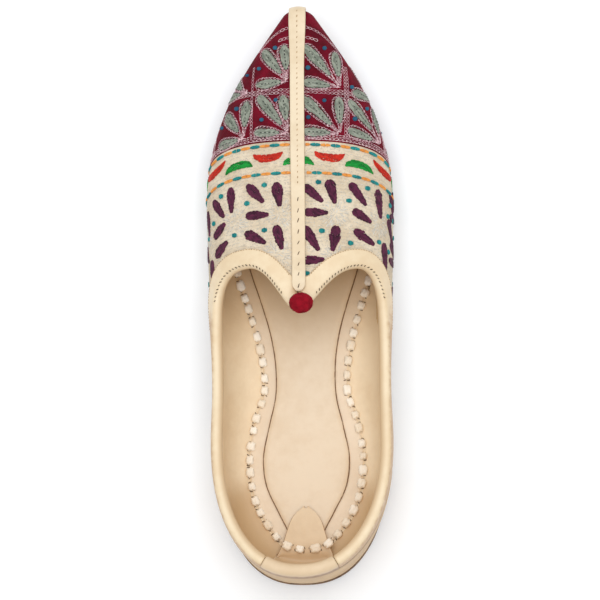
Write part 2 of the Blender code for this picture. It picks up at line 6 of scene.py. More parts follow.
# %% Load the frame
import bpy
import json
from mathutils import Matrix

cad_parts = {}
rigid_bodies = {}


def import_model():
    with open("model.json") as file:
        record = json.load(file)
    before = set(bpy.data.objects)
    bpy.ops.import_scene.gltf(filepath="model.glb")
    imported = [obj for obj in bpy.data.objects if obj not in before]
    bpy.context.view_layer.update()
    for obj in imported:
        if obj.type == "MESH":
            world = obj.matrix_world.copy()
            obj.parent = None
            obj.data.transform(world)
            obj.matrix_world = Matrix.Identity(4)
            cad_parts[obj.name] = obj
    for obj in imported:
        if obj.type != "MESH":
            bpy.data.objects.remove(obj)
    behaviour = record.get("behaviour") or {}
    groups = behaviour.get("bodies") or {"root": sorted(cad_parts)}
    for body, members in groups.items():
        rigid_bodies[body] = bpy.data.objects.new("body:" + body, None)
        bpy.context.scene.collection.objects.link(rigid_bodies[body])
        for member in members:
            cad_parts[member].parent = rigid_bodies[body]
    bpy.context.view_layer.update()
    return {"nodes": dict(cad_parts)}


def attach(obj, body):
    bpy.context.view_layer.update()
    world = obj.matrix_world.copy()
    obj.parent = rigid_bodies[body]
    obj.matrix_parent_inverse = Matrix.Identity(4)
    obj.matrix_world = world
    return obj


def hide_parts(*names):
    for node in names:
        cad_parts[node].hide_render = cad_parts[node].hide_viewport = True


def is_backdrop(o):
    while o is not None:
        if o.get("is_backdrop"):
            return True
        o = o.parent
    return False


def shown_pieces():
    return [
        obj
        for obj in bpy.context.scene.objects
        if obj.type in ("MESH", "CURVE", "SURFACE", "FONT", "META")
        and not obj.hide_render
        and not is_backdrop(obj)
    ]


for leftover in list(bpy.data.objects):
    bpy.data.objects.remove(leftover)
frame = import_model()

import json
import math
import random

import bmesh
import numpy as np
from mathutils import Matrix, Vector, noise
from mathutils.bvhtree import BVHTree

MM = 0.001
print("frame nodes:", sorted(frame["nodes"]))

# %% [markdown]
# The last is the wooden form that a shoe is pulled over. Here it is a table of cross-sections.
# A mesh could be sculpted by eye instead, but a function gives every strip, seam and stitch
# the same surface to lie on. All sizes are in millimetres until a mesh is made.

# %% Sizes of the last
LAST_COLUMNS = ("y", "sole", "wall", "belly", "crown")
LAST_ROWS = (
    (132, 3.9, 5.1, 17.0, 23.0),
    (121, 10.8, 12.9, 15.8, 24.2),
    (107, 19.2, 22.4, 14.5, 26.4),
    (90, 27.8, 31.6, 14.0, 29.8),
    (73, 33.4, 37.6, 14.5, 33.4),
    (57, 36.6, 41.1, 15.5, 37.0),
    (42, 37.8, 42.5, 16.5, 40.4),
    (20, 36.6, 41.8, 18.0, 45.2),
    (0, 33.4, 40.8, 21.0, 49.4),
    (-24, 29.2, 38.8, 26.5, 55.0),
    (-46, 29.6, 38.1, 29.0, 61.0),
    (-68, 37.4, 38.8, 28.0, 68.0),
)
HEEL_Y, BALL_Y = -68, 42
HEEL_ARC = 80
HEEL_BACK = {"sole": 61.0, "wall": 59.3, "belly": 25.0, "crown": 136.0}
HEEL_POWER = {"sole": 2.4, "wall": 2.2}
TOE_TIP = {"sole": 133.4, "wall": 132.2}
NOSE = 3.2
SOLE_LIP = 1.2
FOOT_ANGLE, UPRIGHT = math.radians(-62), math.pi / 2
CENTRE_ROWS = ((134, -0.9), (60, -0.6), (0, 0.2), (-50, 1.0), (-100, 1.0), (-130, 0.5))
ARCH_FROM, ARCH_TO, ARCH_RISE = -50, 6, 1.4
SPRING_FROM, SPRING_TO, TOE_SPRING = 60, 134, 9.5
RIM_ROWS = ((12, 33.0), (-14, 33.0), (-30, 32.6), (-46, 33.4), (-68, 36.4))
RIM_BACK = 45.6
LOBE_Y, LOBE_DEPTH = 8.6, 21.4
LOBE_X = {1: 27.5, -1: 22.0}
TONGUE_TIP = 3.0
SHOE_MIDDLE = 2.1

# %% Sizes of the leathers and strips
GAP, INNER_GAP, SEAM_GAP = 0.3, 0.55, 0.28
SOLE_THICK, INSOLE_THICK, SOCK_THICK = 4.6, 2.4, 2.0
WALL, BINDING_THICK, WRAP_THICK, STRIP_THICK, COUNTER_THICK = 2.0, 1.1, 1.4, 1.3, 1.1
FACING_WIDTH, BINDING_INSIDE, FACING_MEETS_Y, FLANK_STARTS = 6.8, 3.8, 0.8, 8.6
STRIP_HALF, STRIP_LOW_HALF, STRIP_TIP_HALF, STRIP_END_Y, STRIP_SHIFT = 3.2, 2.85, 3.8, -6.0, 0.9
WRAP_HALF, WRAP_FOOT_HALF = 16.0, 13.2
POMPOM_PLACE, POMPOM_HALVES = (1.6, -11.4), (5.2, 4.5, 3.9)
SOCK_ROWS = (
    (119, 4.0), (107, 9.5), (92, 17.5), (71, 25.5), (48, 29.0), (28, 28.0), (12, 24.5),
    (-4, 19.4), (-18, 15.6), (-34, 13.5), (-46, 13.9), (-58, 16.6), (-75, 19.5), (-86, 18.0),
    (-98, 12.4), (-108, 7.6), (-113, 6.6),
)
COVER_ROWS = (
    (119, 6.0), (107, 14.0), (92, 22.0), (71, 29.5), (48, 33.0), (28, 33.5), (7, 29.3), (-6, 25.3),
    (-20, 21.3), (-36, 18.7), (-43, 18.7), (-56, 22.7), (-75, 25.5), (-88, 24.0), (-95, 21.9),
    (-101, 18.6), (-107, 14.4), (-111, 11.0), (-114.5, 7.0),
)
SOCK_SHIFT = 1.0
TAB_ROWS = (
    (-116.2, 12.6), (-114.4, 11.3), (-111.4, 10.1), (-108.3, 9.2), (-105.3, 8.2), (-102.2, 7.2),
    (-99.2, 5.3), (-97.4, 3.4), (-96.5, 1.4),
)


# %% Curves through a table
def curve_through(pairs, level_end=False):
    """Smooth function through (place, value) pairs."""
    places = np.array([pair[0] for pair in pairs], dtype=float)
    values = np.array([pair[1] for pair in pairs], dtype=float)
    order = np.argsort(places)
    places = places[order]
    values = values[order]
    slopes = np.gradient(values, places)
    if level_end:
        slopes[0] = 0.0

    def value(place):
        if place <= places[0]:
            return float(values[0] + slopes[0] * (place - places[0]))
        if place >= places[-1]:
            return float(values[-1] + slopes[-1] * (place - places[-1]))
        i = int(np.searchsorted(places, place)) - 1
        span = places[i + 1] - places[i]
        u = (place - places[i]) / span
        start = values[i] * (1 + 2 * u) + slopes[i] * span * u
        end = values[i + 1] * (3 - 2 * u) + slopes[i + 1] * span * (u - 1)
        return float(start * (1 - u) ** 2 + end * u ** 2)

    return value


def column(name):
    """One column of the last as a smooth function of y."""
    place = LAST_COLUMNS.index(name)
    return curve_through([(row[0], row[place]) for row in LAST_ROWS], level_end=True)


LAST = {name: column(name) for name in LAST_COLUMNS[1:]}
centre = curve_through(CENTRE_ROWS)
rim_height = curve_through(RIM_ROWS, level_end=True)
sock_half = curve_through(SOCK_ROWS)
cover_half = curve_through(COVER_ROWS)
tab_half = curve_through(TAB_ROWS)


def clamp(u):
    """A number kept between 0 and 1."""
    return min(max(u, 0.0), 1.0)


def ease(u):
    """Smooth step from 0 to 1."""
    u = clamp(u)
    return u * u * (3 - 2 * u)


def unit(vector):
    """The vector's direction, at length 1."""
    return vector / np.linalg.norm(vector)


def lengths_along(points):
    """Distance along a path to each of its points."""
    return np.concatenate(([0.0], np.cumsum(np.linalg.norm(np.diff(points, axis=0), axis=1))))


def place_at(path, lengths, at):
    """Place on a path at a distance along it."""
    return np.array([float(np.interp(at, lengths, path[:, i])) for i in range(path.shape[1])])


def halved(low, high, steps, is_low):
    """The two ends that a search by halving closes in on."""
    for _ in range(steps):
        middle = (low + high) / 2
        if is_low(middle):
            low = middle
        else:
            high = middle
    return low, high


# %% The surface of the last
def floor_line(y):
    """Height of the sole's underside at y."""
    u = (y - ARCH_FROM) / (ARCH_TO - ARCH_FROM)
    arch = ARCH_RISE * math.sin(math.pi * clamp(u)) ** 2
    sprung = max(0.0, (y - SPRING_FROM) / (SPRING_TO - SPRING_FROM))
    return arch + TOE_SPRING * sprung ** 2


def nose_closing(y, tip):
    """1 along the shoe, falling to 0 at the tip of the toe as a circle does."""
    run = clamp((y - tip + NOSE) / NOSE)
    return math.sqrt(1 - run * run)


def half_width(level, y, inset=0.0):
    """Half the width of the sole or of the wall at y, inset evenly all round."""
    if y < HEEL_Y:
        side = LAST[level](HEEL_Y) - inset
        run = min((HEEL_Y - y) / (HEEL_BACK[level] - inset), 1.0)
        return side * (1 - run ** HEEL_POWER[level]) ** (1 / HEEL_POWER[level])
    slope = LAST[level](y + 0.5) - LAST[level](y - 0.5)
    width = LAST[level](y) - inset * math.hypot(1, slope)
    return max(width, 0.0) * nose_closing(y, TOE_TIP[level] - inset)


def heel_reach(level, turn, inset=0.0):
    """Distance from the heel's centre to the sole or wall, turned back from the side."""
    side = abs(math.cos(turn)) / (LAST[level](HEEL_Y) - inset)
    back = abs(math.sin(turn)) / (HEEL_BACK[level] - inset)
    power = HEEL_POWER[level]
    return (side ** power + back ** power) ** (-1 / power)


def heel_turn(station):
    """Angle of a station in the heel's fan: 0 at the side, a right angle at the back."""
    return (HEEL_Y - station) / HEEL_ARC * math.pi / 2


def section(station):
    """Sizes of the cross-section at a station: its start, direction, reaches and heights."""
    if station >= HEEL_Y:
        belly = LAST["belly"](station)
        rise = (LAST["crown"](station) - belly) * nose_closing(station, TOE_TIP["wall"])
        return (station, (1.0, 0.0), half_width("sole", station, SOLE_LIP),
                half_width("wall", station), belly, belly + rise)
    turn = heel_turn(station)
    back = math.sin(turn) ** 2
    return (HEEL_Y, (math.cos(turn), -math.sin(turn)), heel_reach("sole", turn, SOLE_LIP),
            heel_reach("wall", turn), LAST["belly"](HEEL_Y) * (1 - back) + HEEL_BACK["belly"] * back,
            LAST["crown"](HEEL_Y) * (1 - back) + HEEL_BACK["crown"] * back)


def last_point(station, angle):
    """Point on the right half of the last: FOOT_ANGLE at the sole, 90 degrees on top."""
    y, way, base, wall, belly, crown = section(station)
    if angle < 0:
        opened = (math.cos(angle) - math.cos(FOOT_ANGLE)) / (1 - math.cos(FOOT_ANGLE))
        reach = base + (wall - base) * opened
        foot = floor_line(y + way[1] * base) + SOLE_THICK + GAP
        height = belly - (belly - foot) * math.sin(angle) / math.sin(FOOT_ANGLE)
    else:
        reach = wall * math.cos(angle)
        height = belly + (crown - belly) * math.sin(angle)
    return np.array((way[0] * reach, y + way[1] * reach, height))


def partials(station, angle):
    """How a point of the last moves with its station and with its angle."""
    up = math.radians(0.5)
    d_station = (last_point(station + 0.25, angle) - last_point(station - 0.25, angle)) / 0.5
    d_angle = (last_point(station, angle + up) - last_point(station, angle - up)) / (2 * up)
    return d_station, d_angle


def last_normal(station, angle):
    """Unit normal of the last, pointing out."""
    return unit(np.cross(*partials(station, angle)))


def lifted(station, angle, lift):
    """Point at a height above the last's surface, along its normal."""
    return last_point(station, angle) + lift * last_normal(station, angle)


def walk(station, angle, heading, distance, steps=5):
    """Station and angle reached by going over the last's surface towards a heading."""
    for _ in range(steps):
        moves = np.column_stack(partials(station, angle))
        move = np.linalg.lstsq(moves, heading * distance / steps, rcond=None)[0]
        station += move[0]
        angle += move[1]
    return station, angle


print("last: ball", round(2 * half_width("wall", BALL_Y), 1), "mm wide, ridge",
      last_point(0, UPRIGHT)[2])


# %% The edge of the opening
def lobe_angle(side):
    """Angle on the last where a lobe of the throat reaches furthest forward."""
    return math.acos(LOBE_X[side] / section(LOBE_Y)[3])


def side_edge(station, side):
    """Angle of the upper's edge behind the lobe, along the side and round the heel."""
    belly, crown = section(station)[4:]
    height = rim_height(station)
    if station < HEEL_Y:
        back = math.sin(heel_turn(station)) ** 2
        height = rim_height(HEEL_Y) * (1 - back) + RIM_BACK * back
    behind = (LOBE_Y - station) / LOBE_DEPTH
    if behind < 1:
        round_off = 1 - math.sqrt(max(0.0, 1 - (1 - behind) ** 2))
        height += (last_point(LOBE_Y, lobe_angle(side))[2] - height) * round_off
    return math.asin((height - belly) / (crown - belly))


def tongue_edge(station, side):
    """Angle of the tongue's edge: from the lobe, narrowing to a blunt tip on the ridge."""
    behind = math.sqrt(max(0.0, (LOBE_Y - station) / LOBE_DEPTH))
    x = (LOBE_X[side] - TONGUE_TIP) * (1 - behind) + TONGUE_TIP * math.sqrt(max(0.0, 1 - behind ** 8))
    return math.acos(min(x / section(station)[3], 1.0))


# %% Stations, finer than the solids have them
LOBE_STEPS, VAMP_STEPS, NOSE_STEPS, SIDE_STEPS, HEEL_STEPS = 22, 76, 8, 26, 34
SIDE_ROWS, TONGUE_ROWS = 26, 14
LOBE_RUN = [LOBE_Y - LOBE_DEPTH * (k / LOBE_STEPS) ** 2 for k in range(LOBE_STEPS + 1)]
NOSE_START = TOE_TIP["wall"] - NOSE
VAMP_RUN = [LOBE_Y + (NOSE_START - LOBE_Y) * k / VAMP_STEPS for k in range(VAMP_STEPS)]
VAMP_RUN += [NOSE_START + NOSE * math.sin(math.pi / 2 * k / NOSE_STEPS) for k in range(NOSE_STEPS + 1)]
QUARTER_START = LOBE_Y - LOBE_DEPTH
QUARTER_RUN = [QUARTER_START + (HEEL_Y - QUARTER_START) * k / SIDE_STEPS
               for k in range(1, SIDE_STEPS + 1)]
QUARTER_RUN += [HEEL_Y - HEEL_ARC * k / HEEL_STEPS for k in range(1, HEEL_STEPS + 1)]


def edge_run(side, last_station):
    """The upper's edge as (station, angle) from the tongue's tip, round the lobe and back."""
    rim = [station for station in QUARTER_RUN if station > last_station + 0.4] + [last_station]
    run = [(station, tongue_edge(station, side)) for station in LOBE_RUN[:0:-1]]
    run.append((LOBE_Y, lobe_angle(side)))
    return run + [(station, side_edge(station, side)) for station in LOBE_RUN[1:] + rim]


def seam_station():
    """Station of the heel seam, where the rim is half the wrap's width from the middle."""
    def behind_it(station):
        return last_point(station, side_edge(station, 1))[0] <= WRAP_HALF

    return halved(HEEL_Y - HEEL_ARC, HEEL_Y, 40, behind_it)[1]


# %% [markdown]
# Leather creases and dents come from handling. A displacement texture would scatter them, so
# the main ones are listed one by one instead: each is a line on the shoe with a width and a depth,
# and the surface sinks softly towards it. A negative depth makes a ridge.

# %% Creases, listed one by one
# Each has its two ends, its width and its depth.
CREASES = (
    ((-38, -20, 24), (-36, -52, 20), 7.0, 0.7),
    ((38, -28, 26), (36, -58, 18), 7.0, 0.6),
    ((-37, -62, 30), (-33, -92, 22), 8.0, -0.5),
    ((36, -70, 30), (30, -100, 24), 8.0, 0.6),
    ((-41, 30, 20), (-38, 62, 16), 6.0, 0.5),
    ((41, 22, 22), (39, 52, 14), 6.0, 0.5),
    ((-26, 26, 40), (-9, 30, 44), 3.5, 0.3),
    ((8, 27, 44), (28, 22, 38), 3.5, 0.3),
    ((-30, 38, 34), (-20, 44, 38), 3.0, -0.2),
    ((20, 12, 44), (33, 24, 34), 3.0, 0.25),
    ((-10, 96, 27), (-16, 112, 22), 4.0, 0.25),
    ((12, 88, 29), (17, 104, 23), 4.0, 0.25),
    ((-14, -126, 30), (14, -126, 30), 6.0, 0.4),
)


def creased(point, normal):
    """The point pushed along its normal by the creases near it."""
    push = 0.0
    for start, end, wide, deep in CREASES:
        start = np.array(start, dtype=float)
        run = np.array(end, dtype=float) - start
        u = clamp(np.dot(point - start, run) / np.dot(run, run))
        away = np.linalg.norm(point - start - u * run) / wide
        if away < 2.5:
            push -= deep * math.exp(-away * away * 1.5)
    return point + push * normal


# %% [markdown]
# A piece is a grid of points: lines across it, one after another. The helpers below bend the
# points along the shoe's slight bow, join the lines with quads, and give an open surface its
# thickness with Solidify. A UV map in real sizes lets a weave or grain follow the surface.

# %% Helpers that make pieces
def bent(point, side=1):
    """A point of the right half, mirrored to a side and bent along the centre line."""
    return (side * point[0] + centre(point[1]), point[1], point[2])


def in_frame(point):
    """A point in millimetres on the last as a place in the frame, in metres."""
    return Vector((point[0] * MM, (point[1] - SHOE_MIDDLE) * MM, point[2] * MM))


def grid(mesh_data, lines, flip=False, slot=0, uvs=None, values=None):
    """Quads between lines of points, with their UV places and one number a point."""
    uv_layer = mesh_data.loops.layers.uv.verify()
    value_layer = mesh_data.verts.layers.float.get("mask") or mesh_data.verts.layers.float.new("mask")
    rows = []
    for i, line in enumerate(lines):
        row = [mesh_data.verts.new(in_frame(point)) for point in line]
        for j, vertex in enumerate(row):
            vertex[value_layer] = values[i][j] if values else 0.0
        rows.append(row)
    for i in range(len(rows) - 1):
        for j in range(len(rows[i]) - 1):
            corners = ((i, j), (i + 1, j), (i + 1, j + 1), (i, j + 1))
            if flip:
                corners = corners[::-1]
            face = mesh_data.faces.new([rows[a][b] for a, b in corners])
            face.material_index = slot
            if uvs:
                for loop, (a, b) in zip(face.loops, corners):
                    loop[uv_layer].uv = uvs[a][b]


def piece(name, mesh_data, materials, wall=0.0, outward=False, smooth_levels=0, inner_slot=0):
    """Object of a finished grid, with its wall and its smoothing applied."""
    bmesh.ops.remove_doubles(mesh_data, verts=mesh_data.verts, dist=0.01 * MM)
    mesh = bpy.data.meshes.new(name)
    mesh_data.to_mesh(mesh)
    mesh_data.free()
    for material in materials:
        mesh.materials.append(material)
    item = bpy.data.objects.new(name, mesh)
    bpy.context.scene.collection.objects.link(item)
    if wall:
        solid = item.modifiers.new("Wall", "SOLIDIFY")
        solid.thickness = wall * MM
        solid.offset = 1.0 if outward else -1.0
        solid.use_even_offset = True
        solid.thickness_clamp = 0.0
        solid.material_offset = inner_slot
        solid.material_offset_rim = inner_slot
    if smooth_levels:
        rounding = item.modifiers.new("Rounding", "SUBSURF")
        rounding.levels = smooth_levels
        rounding.render_levels = smooth_levels
    return plain(item)


def plain(item):
    """The object with its modifiers worked into its mesh, shaded smooth."""
    bpy.context.view_layer.update()
    graph = bpy.context.evaluated_depsgraph_get()
    mesh = bpy.data.meshes.new_from_object(item.evaluated_get(graph))
    item.modifiers.clear()
    item.data = mesh
    mesh.shade_smooth()
    mesh.set_sharp_from_angle(angle=math.radians(50))
    print(item.name, len(mesh.polygons), "faces,", [round(v / MM, 1) for v in item.dimensions], "mm")
    return item


def ride(item, slot, *nodes):
    """The piece rides on the shoe and stands for its plain solids; its slot is not used."""
    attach(item, "root")
    if nodes:
        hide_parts(*nodes)


# %% [markdown]
# Real leather has pores, slow changes of tone and worn edges. Each is a shader node group, built
# once, so that every leather of the shoe can share it with values of its own. The edge group also
# carries painted shade, where a piece's mask darkens places that light doesn't reach. Object
# coordinates keep the pattern fixed to the piece, and UV places keep the cloth's weave on it.

# %% Node helpers
def colour(red, green, blue):
    """Linear colour from one as a screen shows it, 0 to 255."""
    def linear(value):
        value /= 255
        return value / 12.92 if value <= 0.04045 else ((value + 0.055) / 1.055) ** 2.4
    return (linear(red), linear(green), linear(blue), 1.0)


def node(tree, kind, inputs=None, **settings):
    """Add a node. Each input is a value, or another node's output to join to it."""
    item = tree.nodes.new(kind)
    for key, value in settings.items():
        setattr(item, key, value)
    for key, value in (inputs or {}).items():
        if isinstance(value, bpy.types.NodeSocket):
            tree.links.new(value, item.inputs[key])
        else:
            item.inputs[key].default_value = value
    return item


def result(tree, kind, inputs=None, output=0, **settings):
    """Output of a new node, the first one unless another is named."""
    return node(tree, kind, inputs, **settings).outputs[output]


def maths(tree, operation, first, second=0.0, third=0.0):
    """Output of one Math node."""
    return result(tree, "ShaderNodeMath", {0: first, 1: second, 2: third}, operation=operation)


def times(tree, first, second):
    """Product of two numbers."""
    return maths(tree, "MULTIPLY", first, second)


def mixed(tree, share, first, second):
    """Output of a colour mix. Each colour is three values of a screen, or a node's output."""
    first, second = (colour(*tone) if isinstance(tone, tuple) else tone for tone in (first, second))
    return result(tree, "ShaderNodeMix", {0: share, 6: first, 7: second}, 2, data_type="RGBA")


def ramp(tree, value, low, high):
    """0 below low, 1 above high and smooth between."""
    inputs = {0: value, 1: low, 2: high, 3: 0.0, 4: 1.0}
    return result(tree, "ShaderNodeMapRange", inputs, interpolation_type="SMOOTHSTEP")


def place_of(tree, kind="Object"):
    """The shaded place, in the object's own coordinates or on its UV map."""
    return result(tree, "ShaderNodeTexCoord", output=kind)


def own_number(tree, name):
    """A number that the piece has for each of its points."""
    return result(tree, "ShaderNodeAttribute", output="Fac", attribute_name=name)


def noise_of(tree, place, scale, detail=3.0):
    """Output of a noise texture at a scale per metre."""
    inputs = {"Vector": place, "Scale": scale, "Detail": detail, "Roughness": 0.6}
    return result(tree, "ShaderNodeTexNoise", inputs)


def group(name, inputs, outputs):
    """Empty shader group with named number inputs and outputs."""
    tree = bpy.data.node_groups.new(name, "ShaderNodeTree")
    for label, value in inputs.items():
        socket = tree.interface.new_socket(label, in_out="INPUT", socket_type="NodeSocketFloat")
        socket.default_value = value
    for label in outputs:
        tree.interface.new_socket(label, in_out="OUTPUT", socket_type="NodeSocketFloat")
    return tree, tree.nodes.new("NodeGroupInput").outputs, tree.nodes.new("NodeGroupOutput").inputs


# %% Leather grain
def make_grain():
    """Pores as small cells, fine wrinkles and slow clouds of tone."""
    tree, given, out = group("leather_grain", {"Pores": 1100.0, "Clouds": 40.0}, ("Tone", "Height"))
    place = place_of(tree)
    cells = result(tree, "ShaderNodeTexVoronoi", {"Vector": place, "Scale": given["Pores"]},
                   feature="SMOOTH_F1")
    wrinkles = noise_of(tree, place, 420.0, 5.0)
    clouds = noise_of(tree, place, given["Clouds"], 4.0)
    fine = noise_of(tree, place, 260.0, 3.0)
    tree.links.new(maths(tree, "MULTIPLY_ADD", fine, 0.3, times(tree, clouds, 0.7)), out["Tone"])
    tree.links.new(maths(tree, "MULTIPLY_ADD", wrinkles, 0.9, times(tree, cells, 0.5)), out["Height"])
    return tree


# %% Plain weave
def make_weave():
    """Warp over weft, then weft over warp, on the piece's UV places, with uneven threads."""
    tree, given, out = group("plain_weave", {"Threads": 160.0, "Slub": 0.5}, ("Height", "Flecks"))
    parts = node(tree, "ShaderNodeSeparateXYZ", {0: place_of(tree, "UV")}).outputs
    waves = [maths(tree, "SINE", times(tree, times(tree, parts[axis], given["Threads"]), math.pi))
             for axis in (0, 1)]
    over = maths(tree, "GREATER_THAN", times(tree, *waves), 0.0)
    across, along = (maths(tree, "ABSOLUTE", wave) for wave in waves)
    threads = maths(tree, "MULTIPLY_ADD", over, maths(tree, "SUBTRACT", across, along), along)
    place = place_of(tree)
    slub = noise_of(tree, place, 900.0, 4.0)
    tree.links.new(maths(tree, "MULTIPLY_ADD", slub, given["Slub"], threads), out["Height"])
    tree.links.new(ramp(tree, noise_of(tree, place, 1500.0, 4.0), 0.52, 0.66), out["Flecks"])
    return tree


# %% Worn edges and painted shade
def make_wear_and_shade():
    """The piece's own edge mask, broken up by noise: worn cut edges, and painted shade where the mask
    marks it.
    """
    tree, given, out = group("worn_edge_and_shade", {"Edge": 0.0, "Break-up": 300.0}, ("Mask",))
    rough = noise_of(tree, place_of(tree), given["Break-up"], 3.0)
    wear_and_shade = times(tree, given["Edge"], maths(tree, "MULTIPLY_ADD", rough, 1.2, 0.3))
    tree.links.new(ramp(tree, wear_and_shade, 0.2, 0.8), out["Mask"])
    return tree


GRAIN = make_grain()
WEAVE = make_weave()
WEAR_AND_SHADE = make_wear_and_shade()
print("shader groups:", GRAIN.name, WEAVE.name, WEAR_AND_SHADE.name)


# %% Finishes of leather
def placed_group(tree, shared, inputs):
    """A shared group placed in a material, with that material's values."""
    return node(tree, "ShaderNodeGroup", inputs, node_tree=shared).outputs


def start_material(name, roughness):
    """New material with its tree and its Principled shader."""
    material = bpy.data.materials.new(name)
    material.use_nodes = True
    shader = material.node_tree.nodes["Principled BSDF"]
    shader.inputs["Roughness"].default_value = roughness
    return material, material.node_tree, shader


def bump(tree, shader, height, strength, distance):
    """Join a height to the shader's normal, with the depth of the relief in millimetres."""
    inputs = {"Height": height, "Strength": strength, "Distance": distance * MM}
    tree.links.new(result(tree, "ShaderNodeBump", inputs), shader.inputs["Normal"])


# Painted shade under the vamp: a yellower, darker tone that shaded leathers take towards the toe.
PAINTED_VAMP_SHADE, PAINTED_VAMP_SHADE_SHARE, PAINTED_VAMP_SHADE_FROM, PAINTED_VAMP_SHADE_TO = (208, 170, 116), 0.75, -0.045, 0.03


def leather(name, light, dark, edge, roughness, pores=1100.0, depth=0.12, coat=0.0, inner=None,
            shaded=False):
    """Grained leather between two tones. Where the piece's mask is 1 it has the edge's tone, which
    marks worn cut edges and painted shade, and where it is -1 the inner tone, which is painted shade. A
    shaded leather takes painted shade under the vamp, yellower and darker."""
    material, tree, shader = start_material(name, roughness)
    grain = placed_group(tree, GRAIN, {"Pores": pores})
    mask = own_number(tree, "mask")
    wear_and_shade = placed_group(tree, WEAR_AND_SHADE, {"Edge": mask})
    body = mixed(tree, ramp(tree, grain["Tone"], 0.36, 0.64), dark, light)
    if inner:
        body = mixed(tree, ramp(tree, times(tree, mask, -1.0), 0.0, 1.0), body, inner)
    if shaded:
        # Painted shade: towards the toe the tone turns to the vamp's shade colour.
        ahead = result(tree, "ShaderNodeSeparateXYZ", {0: place_of(tree)}, 1)
        under = times(tree, ramp(tree, ahead, PAINTED_VAMP_SHADE_FROM, PAINTED_VAMP_SHADE_TO), PAINTED_VAMP_SHADE_SHARE)
        body = mixed(tree, under, body, PAINTED_VAMP_SHADE)
    tree.links.new(mixed(tree, wear_and_shade["Mask"], body, edge), shader.inputs["Base Color"])
    polish = maths(tree, "MULTIPLY_ADD", grain["Tone"], 0.24, roughness - 0.12)
    tree.links.new(polish, shader.inputs["Roughness"])
    shader.inputs["Coat Weight"].default_value = coat
    shader.inputs["Coat Roughness"].default_value = 0.35
    bump(tree, shader, grain["Height"], 0.55, depth)
    return material


# The facing's edge tone darkens the cut foot of the strip and is painted shade on the fold's outer
# slope at the heel; its inner tone is painted shade inside the fold.
FACING = leather("facing_leather", (237, 218, 185), (228, 204, 167), (190, 150, 102), 0.44, coat=0.12,
                 inner=(214, 186, 148))
# The counter's edge tone marks its cut front and is painted shade along its top, under the binding.
COUNTER = leather("counter_leather", (210, 177, 130), (190, 155, 108), (136, 102, 66), 0.48)
UNDERSIDE = leather("underside_leather", (212, 178, 130), (196, 160, 112), (150, 114, 74), 0.6)
# The lining's inner tone is painted shade at the back of the heel wall, and it takes painted shade
# under the vamp.
LINING = leather("lining_leather", (238, 217, 184), (230, 206, 171), (186, 150, 110), 0.5, pores=900.0,
                 inner=(204, 172, 130), shaded=True)
# The cover takes painted shade under the vamp.
COVER = leather("cover_leather", (234, 215, 190), (225, 203, 175), (178, 140, 102), 0.52, pores=1300.0,
                shaded=True)
# The sock's edge tone is painted shadow along its outline, and it takes painted shade under the vamp.
SOCK = leather("sock_leather", (229, 210, 184), (221, 199, 170), (110, 76, 46), 0.5, pores=1300.0,
               depth=0.1, shaded=True)
# The tab's edge tone darkens its cut edges and is painted shade on the wrap's outer slope; its inner
# tone is painted shade down the inner heel wall.
TAB = leather("tab_leather", (225, 201, 168), (216, 190, 155), (150, 110, 72), 0.48, pores=1000.0,
              inner=(206, 177, 140))
# The sole's edge tone darkens the stitch groove and is painted shade on the lip beside the upper.
SOLE = leather("sole_leather", (160, 126, 90), (130, 98, 66), (84, 58, 38), 0.62, pores=700.0,
               depth=0.2)
STRIP = leather("strip_leather", (234, 216, 186), (223, 202, 169), (196, 160, 118), 0.42, coat=0.12)


# %% Finish of the cloth
ROW_PITCH = 1.7


def make_cloth():
    """Burgundy at the toe and cream behind it. The mask says how far ahead of the border it is."""
    material, tree, shader = start_material("embroidered_cloth", 0.85)
    weave = placed_group(tree, WEAVE, {})
    mask = own_number(tree, "mask")
    ahead = ramp(tree, mask, -0.2, 0.2)
    grain = placed_group(tree, GRAIN, {"Clouds": 70.0})
    clouds = ramp(tree, grain["Tone"], 0.4, 0.6)
    cream = mixed(tree, clouds, (217, 199, 171), (234, 219, 194))
    cream = mixed(tree, times(tree, weave["Flecks"], 0.55), cream, (176, 166, 156))
    place = place_of(tree)
    drift = times(tree, noise_of(tree, place, 55.0), 5.0)
    rows = maths(tree, "SINE", maths(tree, "MULTIPLY_ADD", mask, 2 * math.pi / ROW_PITCH, drift))
    dashes = ramp(tree, noise_of(tree, place, 620.0, 2.0), 0.46, 0.58)
    lines = times(tree, ramp(tree, rows, 0.1, 0.9), dashes)
    cream = mixed(tree, times(tree, lines, 0.36), cream, (172, 166, 156))
    wine = mixed(tree, clouds, (92, 2, 23), (122, 4, 34))
    wine = mixed(tree, times(tree, weave["Flecks"], 0.3), wine, (70, 2, 18))
    tree.links.new(mixed(tree, ahead, cream, wine), shader.inputs["Base Color"])
    shader.inputs["Specular IOR Level"].default_value = 0.2
    bump(tree, shader, maths(tree, "MULTIPLY_ADD", lines, 1.2, weave["Height"]), 0.6, 0.18)
    return material


CLOTH = make_cloth()


# %% Finish of a thread
def thread(name, base, other, roughness=0.6, twist=2200.0):
    """Thread of one colour. Each stitch has its own tone, and a fine twist runs round it."""
    material, tree, shader = start_material(name, roughness)
    tree.links.new(mixed(tree, own_number(tree, "tone"), base, other), shader.inputs["Base Color"])
    shader.inputs["Specular IOR Level"].default_value = 0.25
    bump(tree, shader, noise_of(tree, place_of(tree), twist, 2.0), 0.5, 0.12)
    return material


